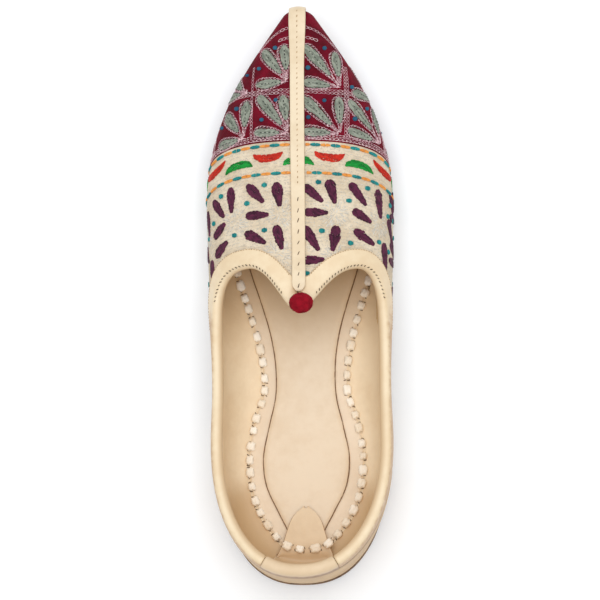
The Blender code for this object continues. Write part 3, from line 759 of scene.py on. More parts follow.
# Each has its two tones, and its roughness where that differs.
THREAD_TONES = {
    "grey_green": ((156, 162, 148), (108, 116, 104)),
    "pale_pink": ((240, 214, 216), (200, 154, 166)),
    "purple": ((98, 34, 66), (54, 16, 38)),
    "teal": ((36, 150, 146), (14, 104, 110)),
    "blue": ((38, 96, 122), (24, 66, 98)),
    "orange": ((234, 160, 76), (210, 128, 52)),
    "red": ((208, 46, 22), (160, 26, 12)),
    "green": ((18, 156, 58), (8, 108, 38)),
    "dark_green": ((46, 50, 44), (34, 28, 30)),
    "silver": ((228, 224, 214), (182, 176, 166)),
    # Speck: dark marks at the lace holes, painted shade.
    "speck": ((138, 108, 80), (92, 68, 48), 0.8),
    "tan": ((196, 166, 126), (160, 130, 94), 0.8),
    "dark": ((92, 66, 44), (60, 42, 28), 0.8),
}
THREADS = {name: thread(name + "_thread", *tones) for name, tones in THREAD_TONES.items()}
THREADS["knot"] = thread("knot_leather", (252, 243, 228), (238, 222, 198), 0.5, 900.0)
print("materials:", len(bpy.data.materials))

# %% [markdown]
# The upper is one shell. Its side rows climb from the sole to the edge of the opening, and
# behind the lobes of the throat its tongue rows run on to the ridge. The outside is cloth and
# the inside is leather, so the wall from Solidify takes the second material. The mask of each
# point holds how far ahead of the cloth's border it lies.

# %% Places on the cloth
ARC_ANGLES = np.linspace(UPRIGHT, FOOT_ANGLE, 56)
ARC_STEP = 2.0
ARC_STATIONS = np.arange(-66.0, 132.0, ARC_STEP)


def arc_lengths(station):
    """Distance over the last from the ridge to each of the angles."""
    return lengths_along(np.array([last_point(station, angle) for angle in ARC_ANGLES]))


ARCS = np.array([arc_lengths(station) for station in ARC_STATIONS])


def arcs_at(station):
    """The distances over the last at any station of the vamp."""
    place = min(max((station - ARC_STATIONS[0]) / ARC_STEP, 0.0), len(ARC_STATIONS) - 1.001)
    row = int(place)
    return ARCS[row] * (1 - place + row) + ARCS[row + 1] * (place - row)


def on_cloth(across, y, lift=0.0):
    """Point and normal on the cloth, at a distance across from the ridge and a station."""
    side = 1 if across >= 0 else -1
    angle = float(np.interp(abs(across), arcs_at(y), ARC_ANGLES))
    normal = last_normal(y, angle)
    point = creased(last_point(y, angle), normal) + lift * normal
    return np.array(bent(point, side)), np.array((side * normal[0], normal[1], normal[2]))


def sag(across):
    """How far a row of the embroidery falls back at a distance from the ridge."""
    near = min(abs(across), 46.0)
    return 0.0008 * near ** 2 + 1.1e-6 * near ** 4 + 0.25 * (abs(across) - near)


BORDER_Y = 66.0


# %% The upper
def split_angle(station, side):
    """Angle between the side rows and the tongue rows, the same on both sides at the toe."""
    u = ease((station - LOBE_Y) / 60)
    return lobe_angle(side) * (1 - u) + math.radians(54) * u


def shell_lines(stations, side, low_of, high_of, rows):
    """Points, UV places and border masks of the shell between two edges."""
    points, uvs, masks = [], [], []
    for station in stations:
        low, high = low_of(station), high_of(station)
        arcs = arcs_at(station)
        line, uv_line, mask_line = [], [], []
        for j in range(rows + 1):
            angle = low + (high - low) * j / rows
            across = float(np.interp(math.pi / 2 - angle, math.pi / 2 - ARC_ANGLES, arcs))
            bare = last_point(station, angle)
            line.append(bent(creased(bare, last_normal(min(station, 131.5), angle)), side))
            uv_line.append((side * across * 0.01, station * 0.01))
            mask_line.append(station - BORDER_Y + sag(across))
        points.append(line)
        uvs.append(uv_line)
        masks.append(mask_line)
    return points, uvs, masks


def make_upper():
    """The cloth shell with its leather lining."""
    mesh_data = bmesh.new()
    front = LOBE_RUN[:0:-1] + VAMP_RUN
    for side in (1, -1):
        def edge(station):
            return split_angle(station, side) if station >= LOBE_Y else side_edge(station, side)

        def tongue(station):
            return split_angle(station, side) if station >= LOBE_Y else tongue_edge(station, side)

        for stations, low_of, high_of, rows in (
                (QUARTER_RUN[::-1] + front, lambda station: FOOT_ANGLE, edge, SIDE_ROWS),
                (front, tongue, lambda station: math.pi / 2, TONGUE_ROWS)):
            points, uvs, masks = shell_lines(stations, side, low_of, high_of, rows)
            grid(mesh_data, points, flip=side < 0, uvs=uvs, values=masks)
    return piece("upper_shell", mesh_data, [CLOTH, UNDERSIDE], wall=WALL, inner_slot=1)


upper = make_upper()
ride(upper, "embroidered_cloth", "upper")

# %% [markdown]
# The sole, the insole and the padded sock all lie on the floor line. Each is a height over an
# outline: a row of points across at every step along the shoe. Cloth simulation would suit a
# thick cushion, but the sock is only two millimetres of leather and padding, thinner than the
# voxels a simulation needs, so its soft edge is worked out from the distance to its outline.

# %% Flat pieces
def share_of(k, steps):
    """Share of the way at step k, with the steps closer together at both ends."""
    return 0.5 - 0.5 * math.cos(math.pi * k / steps)


def floor_piece(name, half, back, front, top, under, materials, shift=0.0, shares=(), steps=130,
                slot_of=None, mask=None):
    """Piece on the floor line, with its top as a height over each point of its outline."""
    mesh_data = bmesh.new()
    top_lines, low_lines, top_masks, uvs = [], [], [], []
    for k in range(steps + 1):
        y = back + (front - back) * share_of(k, steps)
        width = half(y)
        middle = centre(y) + shift
        base = floor_line(y)
        xs = [share * width for share in shares]
        top_lines.append([(middle + x, y, base + top(x, y, width)) for x in xs])
        low_lines.append([(middle + x, y, base + under) for x in (xs[0], xs[-1])])
        top_masks.append([mask(x, y, width) if mask else 0.0 for x in xs])
        uvs.append([(x * 0.01, y * 0.01) for x in xs])
    grid(mesh_data, top_lines, flip=True, uvs=uvs, values=top_masks)
    grid(mesh_data, low_lines)
    for end, flip in ((0, False), (-1, True)):
        wall_lines = [[low[end], high[end]] for low, high in zip(low_lines, top_lines)]
        # Each side wall is darkest at its foot: painted shade where it meets the layer below.
        edge_masks = [[1.0, row[end]] for row in top_masks]
        grid(mesh_data, wall_lines, flip=not flip, values=edge_masks)
    if slot_of:
        for face in mesh_data.faces:
            face.material_index = slot_of(face.calc_center_median() / MM)
    return piece(name, mesh_data, materials)


def spread(count):
    """Shares from -1 to 1, closer together near the edges."""
    places = (2 * k / count - 1 for k in range(count + 1))
    return [math.copysign(1 - (1 - abs(f)) ** 2.0, f) for f in places]


# %% The outsole
# Each level has its inset and its height. The dark groove of the stitches is in the middle.
OUTSOLE_LEVELS = (
    (0.9, 0.0), (0.2, 0.2), (-0.3, 0.6), (-0.5, 1.0), (-0.5, 2.1), (-0.2, 2.25), (-0.2, 2.45),
    (-0.5, 2.6), (-0.5, 3.9), (-0.3, 4.3), (0.4, 4.6),
)
GROOVE_LEVELS, LIP_LEVEL, OUTSOLE_STEPS, OUTSOLE_ACROSS = (4, 5, 6), 8, 140, 12


def make_outsole():
    """Hard sole from rounded levels: underside, lower edge, side, upper edge and top."""
    mesh_data = bmesh.new()
    back, front = HEEL_Y - HEEL_BACK["sole"], TOE_TIP["sole"]
    loops = []
    for inset, height in OUTSOLE_LEVELS:
        right, left = [], []
        for k in range(OUTSOLE_STEPS + 1):
            y = back + inset + (front - back - 2 * inset) * share_of(k, OUTSOLE_STEPS)
            x = half_width("sole", y, inset)
            z = floor_line(y) + height
            right.append((centre(y) + x, y, z))
            left.append((centre(y) - x, y, z))
        loops.append((right, left))
    for level, (low, high) in enumerate(zip(loops, loops[1:])):
        # The lip's top, beside the upper, is darkened as painted shade.
        edge = 1.0 if level in GROOVE_LEVELS else 0.75 if level >= LIP_LEVEL else 0.0
        for hand, flip in ((0, False), (1, True)):
            lines = [[a, b] for a, b in zip(low[hand], high[hand])]
            grid(mesh_data, lines, flip=flip, values=[[edge, edge]] * len(lines))
    for loop, flip in ((loops[0], False), (loops[-1], True)):
        lines = []
        for a, b in zip(loop[1], loop[0]):
            lines.append([tuple(a[i] + (b[i] - a[i]) * k / OUTSOLE_ACROSS for i in range(3))
                          for k in range(OUTSOLE_ACROSS + 1)])
        grid(mesh_data, lines, flip=flip)
    return piece("outsole_leather", mesh_data, [SOLE])


outsole = make_outsole()
ride(outsole, "sole_leather", "outsole")

# %% The insole and its cover
INSOLE_EDGE = SOLE_LIP + WALL + 2 * GAP
INSOLE_BACK = HEEL_Y - HEEL_BACK["sole"] + INSOLE_EDGE
INSOLE_FRONT = TOE_TIP["sole"] - INSOLE_EDGE
INSOLE_TOP = SOLE_THICK + GAP + INSOLE_THICK
INSOLE_ACROSS, INSOLE_STEPS, HEEL_ROUND = 60, 260, 3.0


def rounded_reach(y, rows, half):
    """Half-width of a violin shape at y, rounded at its heel and at its toe."""
    back, front = rows[-1][0], rows[0][0]
    if y <= back or y >= front:
        return 0.0
    rear = clamp((back + HEEL_ROUND - y) / HEEL_ROUND)
    return half(y) * nose_closing(y, front) * math.sqrt(1 - rear ** 2)


def cover_reach(y):
    """Half-width of the pale cover that the knots hold down."""
    return rounded_reach(y, COVER_ROWS, cover_half)


def insole_height(x, y, width):
    """The cover lies proud in the middle of the insole."""
    beyond = abs(x - SOCK_SHIFT) - cover_reach(y)
    return INSOLE_TOP - 0.35 + 0.6 * (1 - ease((beyond + 0.25) / 0.5))


def insole_slot(place):
    """Cover inside the line of knots, lining outside it."""
    y = place.y + SHOE_MIDDLE
    return 1 if abs(place.x - centre(y) - SOCK_SHIFT) > cover_reach(y) else 0


insole = floor_piece(
    "insole_leather", lambda y: half_width("sole", y, INSOLE_EDGE), INSOLE_BACK, INSOLE_FRONT,
    insole_height, SOLE_THICK + GAP, [COVER, LINING], steps=INSOLE_STEPS, slot_of=insole_slot,
    shares=[k / INSOLE_ACROSS for k in range(-INSOLE_ACROSS, INSOLE_ACROSS + 1)])
ride(insole, "insole_leather", "insole")

# %% The lining that runs from the rim to the knots
def inner_radius(station, side):
    """Distance from the middle, or from the heel's centre, to the edge of the cover."""
    y0, way = section(station)[:2]

    def inside(reach):
        x, y = way[0] * reach, y0 + way[1] * reach
        return x < cover_reach(y) + side * SOCK_SHIFT and y > COVER_ROWS[-1][0]

    return halved(0.0, 60.0, 30, inside)[0]


def angle_at(station, height):
    """Angle at which the last reaches a height."""
    return halved(FOOT_ANGLE, UPRIGHT, 30, lambda angle: last_point(station, angle)[2] < height)[0]


LINING_DEPTH, BOWL_RISE, BOWL_PULL, BOWL_STEPS, LEG_STEPS = WALL + 0.35, 21.0, 0.42, 12, 4


def bowl_top(station):
    """Angle on the wall where the lining begins to curve in."""
    y0, way, _, _, belly, _ = section(station)
    floor = floor_line(y0 + way[1] * 40)
    return angle_at(station, min(floor + BOWL_RISE, belly * 0.92 + 2.0))


def bowl(station, side, u, lift=0.0):
    """Point of the lining's lower curve: u is 0 high on the wall and 1 on the floor by the knots."""
    y0, way = section(station)[:2]
    start_angle = bowl_top(station)
    start = lifted(station, start_angle, -LINING_DEPTH)
    down = unit(-partials(station, start_angle)[1])
    reach = inner_radius(station, side) + 1.3
    end = np.array((way[0] * reach, y0 + way[1] * reach, 0.0))
    end[2] = floor_line(end[1]) + INSOLE_TOP + 0.1
    out = np.array((way[0], way[1], 0.0))
    run = np.linalg.norm(start - end)
    a = start + down * BOWL_PULL * run
    b = end + out * BOWL_PULL * run
    point = (1 - u) ** 3 * start + 3 * (1 - u) ** 2 * u * a + 3 * (1 - u) * u * u * b + u ** 3 * end
    slope = unit((1 - u) ** 2 * (a - start) + 2 * (1 - u) * u * (b - a) + u * u * (end - b))
    flat = np.dot(slope, out)
    return point + lift * np.array((way[0] * slope[2], way[1] * slope[2], -flat))


DOWN = np.array((0.0, 0.0, -1.0))
RIM_LEG = ((3.2, -3.55), (4.6, -3.45), (6.5, -3.1), (9.0, -2.7))
# Painted shade: the lower lining darkens towards the back of the heel.
LINING_HEEL_SHADE, LINING_HEEL_SHADE_FROM, LINING_HEEL_SHADE_RUN, LINING_FRONT = 0.85, -84, 24, 104


def make_lining():
    """Soft lining inside the wall, which turns in under the knots without a corner."""
    mesh_data = bmesh.new()
    stations = QUARTER_RUN[::-1] + LOBE_RUN[:0:-1] + [y for y in VAMP_RUN if y < LINING_FRONT]
    for side in (1, -1):
        lines, masks = [], []
        for station in stations:
            line = []
            if station <= LOBE_Y:
                start = (station, side_edge(station, side))
                line += [lifted(*walk(*start, DOWN, fallen, steps=3), lift) for fallen, lift in RIM_LEG]
            else:
                top = min(angle_at(station, floor_line(station) + 30.0), math.radians(35))
                foot = bowl_top(station)
                line += [lifted(station, top + (foot - top) * k / LEG_STEPS, -LINING_DEPTH)
                         for k in range(LEG_STEPS)]
            line += [bowl(station, side, k / BOWL_STEPS) for k in range(BOWL_STEPS + 1)]
            out = np.array((*section(station)[1], 0.0))
            lines.append([bent(creased(point, out), side) for point in line])
            # Painted shade low on the wall at the back of the heel.
            heel = -LINING_HEEL_SHADE * ease((LINING_HEEL_SHADE_FROM - station) / LINING_HEEL_SHADE_RUN)
            masks.append([heel * ease((j - 3) / 5) for j in range(len(line))])
        grid(mesh_data, lines, flip=side < 0, values=masks)
    return piece("wall_lining", mesh_data, [LINING], wall=0.4)


lining = make_lining()
ride(lining, "insole_leather")

# %% The padded sock
SOCK_BASE, SOCK_SOFT_EDGE = INSOLE_TOP + GAP, 3.2
# Each has its depth, its half-width, its place and its half-length.
SOCK_HOLLOWS = ((0.22, 13, -78, 18), (0.2, 20, 34, 26))


def sock_reach(y):
    """Half-width of the violin-shaped sock."""
    return rounded_reach(y, SOCK_ROWS, sock_half)


def sock_inside(x, y, width):
    """Distance from a place on the sock to its outline."""
    return min(width - abs(x), y - SOCK_ROWS[-1][0], SOCK_ROWS[0][0] - y)


def sock_height(x, y, width):
    """Soft edge, full middle and a slight hollow under the heel and the ball of the foot."""
    full = 1 - max(0.0, 1 - max(sock_inside(x, y, width), 0.0) / SOCK_SOFT_EDGE) ** 2.4
    hollow = sum(deep * math.exp(-((x / wide) ** 2 + ((y - at) / long) ** 2))
                 for deep, wide, at, long in SOCK_HOLLOWS)
    ripple = 0.10 * noise.noise(Vector((x * 0.09, y * 0.06, 0.0)))
    return SOCK_BASE + (SOCK_THICK - 0.1) * (0.42 + 0.58 * full) - (hollow - ripple) * full


def sock_edge_shadow(x, y, width):
    """Painted shadow along the outline, where the pad's edge drops to the cover."""
    return 1 - ease(sock_inside(x, y, width) / 1.0)


sock = floor_piece(
    "sock_padding", sock_reach, SOCK_ROWS[-1][0], SOCK_ROWS[0][0], sock_height, SOCK_BASE, [SOCK],
    shift=SOCK_SHIFT, shares=spread(48), steps=220, mask=sock_edge_shadow)
ride(sock, "sock_leather", "sock_pad")

# %% [markdown]
# The leather strips are folded over the edges of the upper. Each line of points runs up the
# inside of the wall, over its edge and down the outside, and a line is drawn at every station
# of the edge. Solidify gives the strip its thickness and one subdivision rounds its folds.


# %% The folded strips
def leg_ends(run):
    """Where the outer leg ends for each point of the edge, a facing's width away."""
    points = [last_point(*spot) for spot in run]
    ends = []
    for i, (station, angle) in enumerate(run):
        ahead = points[min(i + 1, len(points) - 1)] - points[max(i - 1, 0)]
        way = unit(np.cross(last_normal(station, angle), ahead))
        far = points[i][0] > FLANK_STARTS or i >= LOBE_STEPS
        ends.append(walk(station, angle, way, FACING_WIDTH) if far else None)
    first = next(i for i, end in enumerate(ends) if end is not None)
    middle = (FACING_MEETS_Y, math.acos(0.5 * GAP / section(FACING_MEETS_Y)[3]))
    for i in range(first):
        u = points[i][0] / points[first][0]
        ends[i] = tuple(middle[k] * (1 - u) + ends[first][k] * u for k in range(2))
    return ends


def folded_piece(name, sheets, finish, thick):
    """Strip of leather with its thickness outside its points, from (lines, masks, flip) sheets."""
    mesh_data = bmesh.new()
    for lines, masks, flip in sheets:
        grid(mesh_data, lines, flip=flip, values=masks)
    return piece(name, mesh_data, [finish], wall=thick, outward=True, smooth_levels=1)


def between(start, end, share):
    """Station and angle part of the way from one place to another."""
    return tuple(start[k] + (end[k] - start[k]) * share for k in range(2))


def down_strip(start, end):
    """Direction from the edge of the upper down the strip's outside."""
    return unit(last_point(*between(start, end, 0.02)) - last_point(*start))


def folded_line(start, end, inside):
    """Points across a strip: up the inside of the wall, over its edge and down the outside."""
    edge = last_point(*start)
    normal = last_normal(*start)
    down = down_strip(start, end)

    def over(back, lift):
        return edge + back * down + lift * normal

    def leg(share, lift):
        return lifted(*between(start, end, share), lift)

    deep = -(WALL + INNER_GAP)
    return [
        leg(inside, deep), leg(inside * 0.5, deep), over(0.1, deep), over(-0.4, -WALL),
        over(-0.65, -WALL / 2), over(-0.4, 0.0), over(0.1, GAP * 1.1),
    ] + [leg(share, GAP) for share in (0.2, 0.45, 0.7, 0.92, 1.0)]


SEAM = seam_station()
RUNS = {}


def make_binding(side):
    """Strip folded over the edge from the tongue's tip to the heel seam."""
    run = edge_run(side, SEAM + 0.05 * SEAM_GAP)
    run[0] = (run[0][0], math.acos(0.5 * GAP / section(run[0][0])[3]))
    ends = leg_ends(run)
    RUNS[side] = (run, ends)
    lines, masks = [], []
    for i, (start, end) in enumerate(zip(run, ends)):
        length = np.linalg.norm(last_point(*end) - last_point(*start))
        line = folded_line(start, end, min(BINDING_INSIDE / length, 0.5))
        lines.append([bent(point, side) for point in line])
        last_one = i == len(run) - 1
        # Painted shade: the inside of the fold takes the inner tone, and towards the heel the outer
        # slope darkens to the edge tone. The foot keeps a worn cut edge.
        turned = ease((QUARTER_START + 14 - start[0]) / 24)
        row = [-1.0, -1.0, -1.0, -0.8, -0.3]
        row += [share * turned for share in (0.28, 0.6, 0.8, 0.9, 0.9, 0.9)] + [0.6 + 0.35 * turned]
        masks.append([max(value, 0.25) if last_one and j > 3 else value for j, value in enumerate(row)])
    name = "binding_right" if side > 0 else "binding_left"
    return folded_piece(name, [(lines, masks, side < 0)], FACING, BINDING_THICK)


bindings = {side: make_binding(side) for side in (1, -1)}
ride(bindings[1], "binding_leather", "collar_binding_right")
ride(bindings[-1], "binding_leather", "collar_binding_left")


# %% The heel counter
COUNTER_FRONT, COUNTER_ROWS = -84, 14


def make_counter():
    """Plain leather outside the heel, between the sole and the bound edge."""
    stations = [COUNTER_FRONT] + [station for station in QUARTER_RUN if station < COUNTER_FRONT - 1]
    foot = FOOT_ANGLE + math.radians(3)
    sheets = []
    for side in (1, -1):
        lines, masks = [], []
        for station in stations[::-1]:
            top = walk(station, side_edge(station, 1), DOWN, FACING_WIDTH + 0.6 * GAP)[1]
            angles = [foot + (top - foot) * j / COUNTER_ROWS for j in range(COUNTER_ROWS + 1)]
            lines.append([bent(lifted(station, angle, GAP), side) for angle in angles])
            # The front is a cut edge; the top row is darkened as painted shade under the binding.
            cut = 0.5 if station == COUNTER_FRONT else 0.0
            masks.append([cut] * COUNTER_ROWS + [cut or 0.8])
        sheets.append((lines, masks, side < 0))
    return folded_piece("counter_leather", sheets, COUNTER, COUNTER_THICK)


counter = make_counter()
ride(counter, "counter_leather", "heel_counter")

# %% The heel wrap and its tab
TAB_BASE = SOLE_THICK + INSOLE_THICK + SOCK_THICK + 3 * GAP


WRAP_COLUMNS, TAB_STEPS = 32, 16
# Painted shade along each line of the wrap: dark on the outer slope, the inner tone down the inside of
# the heel, none on the tab.
WRAP_MASKS = [0.95, 0.9, 0.85, 0.8, 0.65, 0.25, 0.0, 0.0, -0.1, -0.7] + [-1.0] * 9 + [-0.8, -0.5, -0.2]


def make_wrap():
    """Strip folded over the back of the rim, down the inner heel and out over the sock."""
    seam, back = SEAM - 0.05 * SEAM_GAP, HEEL_Y - HEEL_ARC
    lines, masks = [], []
    for c in range(WRAP_COLUMNS + 1):
        f = 2 * c / WRAP_COLUMNS - 1
        side = -1 if f < 0 else 1
        station = back + (seam - back) * abs(f)
        start = (station, side_edge(station, 1))
        end = walk(*start, DOWN, FACING_WIDTH)
        line = [bent(point, side) for point in folded_line(start, end, 0.45)[::-1]]
        for u in (0.05, 0.2, 0.35, 0.5, 0.65, 0.8):
            narrow = 1 - (1 - WRAP_FOOT_HALF / WRAP_HALF) * u
            lower = back + (seam - back) * abs(f) * narrow
            line.append(bent(bowl(lower, side, u, lift=0.5 - 0.4 * u), side))
        for k in range(TAB_STEPS + 1):
            out = math.sin(math.pi / 2 * k / TAB_STEPS)
            y = TAB_ROWS[0][0] + (TAB_ROWS[-1][0] + 0.5 - TAB_ROWS[0][0]) * out
            bow = 0.25 * (1 - f * f)
            half = max(tab_half(y), 0.2)
            line.append((centre(y) + SOCK_SHIFT + f * half, y, TAB_BASE - 0.2 + bow))
        lines.append(line)
        row = WRAP_MASKS + [0.0] * (len(line) - len(WRAP_MASKS))
        cut = [row[j] if j < 11 else 0.4 if j < 18 else 0.9 for j in range(len(line))]
        masks.append(cut if c in (0, WRAP_COLUMNS) else row[:-1] + [0.9])
    return folded_piece("wrap_leather", [(lines, masks, False)], TAB, WRAP_THICK)


wrap = make_wrap()
ride(wrap, "wrap_leather", "heel_wrap")


# %% The ridge strip
def tree_of(item, outside_only=False):
    """Search tree of an object's mesh, in metres, or only of the faces of its first material."""
    mesh = item.data
    faces = [tuple(p.vertices) for p in mesh.polygons if not (outside_only and p.material_index)]
    return BVHTree.FromPolygons([v.co.copy() for v in mesh.vertices], faces)


RIDGE_STEPS, TOE_STEPS, STRIP_REACH, STRIP_CUT = 70, 12, 4 * MM, 0.55


def strip_path():
    """The strip's centre as (y, z) along the ridge and down over the toe."""
    path = []
    for k in range(RIDGE_STEPS + 1):
        y = STRIP_END_Y + (NOSE_START - STRIP_END_Y) * k / RIDGE_STEPS
        path.append((y, last_point(y, UPRIGHT)[2]))
    toe_top, toe_mid = path[-1][1], LAST["belly"](TOE_TIP["wall"])
    for k in range(1, TOE_STEPS + 1):
        turn = math.pi / 2 * k / TOE_STEPS
        z = toe_mid + (toe_top - toe_mid) * math.cos(turn)
        path.append((NOSE_START + NOSE * math.sin(turn), z))
    base = floor_line(TOE_TIP["wall"]) + SOLE_THICK + 2 * GAP
    return path + [(TOE_TIP["wall"], (toe_mid + base) / 2)]


def strip_place(tree, point, lift):
    """Nearest place of the shell, lifted along the normal averaged round it."""
    place = tree.find_nearest(in_frame(point))[0]
    normal = Vector((0.0, 0.0, 0.0))
    for _, near, _, distance in tree.find_nearest_range(place, STRIP_REACH):
        if near.z > -0.3 or near.y > 0.6:
            normal += near * (STRIP_REACH - distance)
    place = place + normal.normalized() * lift * MM
    return (place.x / MM, place.y / MM + SHOE_MIDDLE, place.z / MM)


def strip_lift(y):
    """The strip rides over the facing at its lower end."""
    return GAP + (GAP + BINDING_THICK) * (1 - ease((y - FACING_MEETS_Y - 1) / 9))


OUTSIDE = tree_of(upper, outside_only=True)
STRIP_SHARES = (1.0, 0.86, 0.5, 0.0, -0.5, -0.86, -1.0)


def make_strip():
    """Strip with a round lower end, laid on the shell."""
    lines, masks = [], []
    for y, z in strip_path():
        half = STRIP_LOW_HALF + (STRIP_HALF - STRIP_LOW_HALF) * ease((y + 5) / 75)
        half += (STRIP_TIP_HALF - STRIP_HALF) * ease((y - 100) / 28)
        into = clamp((y - STRIP_END_Y) / 2.6)
        half *= 0.35 + 0.65 * math.sqrt(1 - (1 - into) ** 2)
        middle = centre(y) - 0.4 + STRIP_SHIFT * (1 - ease(y / TOE_TIP["wall"]))
        spots = [(middle + f * half, y, z) for f in STRIP_SHARES]
        lines.append([strip_place(OUTSIDE, spot, strip_lift(y)) for spot in spots])
        masks.append([STRIP_CUT if abs(f) == 1.0 else 0.0 for f in STRIP_SHARES])
    return folded_piece("strip_leather", [(lines, masks, False)], STRIP, STRIP_THICK), lines


strip, strip_lines = make_strip()
ride(strip, "strip_leather", "ridge_strip")

# %% [markdown]
# Hand stitches are small solid threads, hundreds of them, that follow the cloth. They are made
# with Geometry Nodes: a cloud of points says where each stitch lies, which way it runs and what
# tone it has, and the tree puts one modelled thread on every point. The result is made real,
# because an exported model can't keep instances.

# %% One thread, one link and one knot
def join_rings(mesh_data, rings):
    """Quads between rings of points, one after another."""
    sides = len(rings[0])
    for low, high in zip(rings, rings[1:]):
        for k in range(sides):
            mesh_data.faces.new((low[k], low[(k + 1) % sides], high[(k + 1) % sides], high[k]))


def lathe(name, profile, sides):
    """Small spindle along X from (place, radius) pairs."""
    mesh_data = bmesh.new()
    turns = [2 * math.pi * k / sides for k in range(sides)]
    rings = [[mesh_data.verts.new((x, r * math.cos(t), r * math.sin(t))) for t in turns]
             for x, r in profile]
    join_rings(mesh_data, rings)
    mesh_data.faces.new(rings[0][::-1])
    mesh_data.faces.new(rings[-1])
    bmesh.ops.recalc_face_normals(mesh_data, faces=mesh_data.faces)
    return hidden(name, mesh_data)


def hidden(name, mesh_data):
    """Helper object that is only used as the shape of an instance."""
    mesh = bpy.data.meshes.new(name)
    mesh_data.to_mesh(mesh)
    mesh_data.free()
    mesh.shade_smooth()
    return bpy.data.objects.new(name, mesh)


def ring_link(name):
    """One link of chain stitch: a thread that leaves a point, opens and comes back."""
    mesh_data = bmesh.new()
    count, sides, thick = 10, 4, 0.075
    rings = []
    for k in range(count):
        t = 2 * math.pi * k / count
        middle = Vector((-0.5 * math.cos(t), 0.42 * math.sin(t) * (1.15 - 0.35 * math.cos(t)), 0.0))
        out = Vector((-math.cos(t), math.sin(t), 0.0)).normalized()
        ring = []
        for j in range(sides):
            a = 2 * math.pi * (j + 0.5) / sides
            way = math.cos(a) * out + Vector((0, 0, 2.2 * math.sin(a)))
            ring.append(mesh_data.verts.new(middle + thick * way))
        rings.append(ring)
    join_rings(mesh_data, rings + rings[:1])
    bmesh.ops.recalc_face_normals(mesh_data, faces=mesh_data.faces)
    return hidden(name, mesh_data)


def lumpy_knot(name, power, rough, dent):
    """Small pillow, squarer with a higher power, lumpy and dented where the thread goes in."""
    mesh_data = bmesh.new()
    bmesh.ops.create_icosphere(mesh_data, subdivisions=3, radius=0.5)
    for vertex in mesh_data.verts:
        way = vertex.co.normalized()
        square = (abs(way.x) ** power + abs(way.y) ** power + abs(way.z) ** power) ** (-1 / power)
        hole = math.exp(-((way.x / 0.34) ** 2 + (way.y / 0.14) ** 2))
        lump = 1 + rough * noise.noise(way * 2.6) - dent * hole
        vertex.co = way * 0.5 * square * lump
    return hidden(name, mesh_data)


THREAD_PROFILE = ((-0.5, 0.1), (-0.42, 0.36), (-0.2, 0.5), (0.2, 0.5), (0.42, 0.36), (0.5, 0.1))
SHAPES = {
    "thread": lathe("one_thread", THREAD_PROFILE, 5),
    "fine": lathe("fine_thread", ((-0.5, 0.14), (-0.3, 0.5), (0.3, 0.5), (0.5, 0.14)), 4),
    "link": ring_link("one_link"),
    "knot": lumpy_knot("one_knot", 3.2, 0.34, 0.3),
    "dot": lumpy_knot("one_dot", 2.0, 0.12, 0.0),
}
print("stitch shapes:", {name: len(shape.data.polygons) for name, shape in SHAPES.items()})


# %% The tree that sews
def make_sewing():
    """Geometry Nodes tree that puts a stitch on every point."""
    tree = bpy.data.node_groups.new("sewing", "GeometryNodeTree")
    tree.is_modifier = True
    sockets = (("Points", "Geometry"), ("Stitch", "Object"), ("Width", "Float"), ("Height", "Float"),
               ("Unevenness", "Float"), ("Seed", "Int"), ("Material", "Material"))
    for label, kind in sockets:
        tree.interface.new_socket(label, in_out="INPUT", socket_type="NodeSocket" + kind)
    tree.interface.new_socket("Sewn", in_out="OUTPUT", socket_type="NodeSocketGeometry")
    given = tree.nodes.new("NodeGroupInput").outputs
    out = tree.nodes.new("NodeGroupOutput").inputs
    along, up = (result(tree, "GeometryNodeInputNamedAttribute", {"Name": name},
                        data_type="FLOAT_VECTOR") for name in ("along", "up"))
    turn = result(tree, "FunctionNodeAxesToRotation", {0: along, 1: up}, primary_axis="X",
                  secondary_axis="Z")
    length = result(tree, "ShaderNodeVectorMath", {0: along}, "Value", operation="LENGTH")
    size = result(tree, "ShaderNodeCombineXYZ", {0: length, 1: given["Width"], 2: given["Height"]})
    low, high = (maths(tree, way, 1.0, given["Unevenness"]) for way in ("SUBTRACT", "ADD"))
    uneven = result(tree, "FunctionNodeRandomValue", {2: low, 3: high, "Seed": given["Seed"]}, 1)
    scale = result(tree, "ShaderNodeVectorMath", {0: size, "Scale": uneven}, operation="SCALE")
    shape = result(tree, "GeometryNodeObjectInfo", {"Object": given["Stitch"]}, "Geometry")
    put = result(tree, "GeometryNodeInstanceOnPoints", {
        "Points": given["Points"], "Instance": shape, "Rotation": turn, "Scale": scale})
    real = result(tree, "GeometryNodeRealizeInstances", {0: put})
    painted = result(tree, "GeometryNodeSetMaterial", {"Geometry": real, "Material": given["Material"]})
    tree.links.new(painted, out["Sewn"])
    return tree


SEWING = make_sewing()
SEWING_INPUTS = {item.name: item.identifier for item in SEWING.interface.items_tree
                 if item.in_out == "INPUT"}


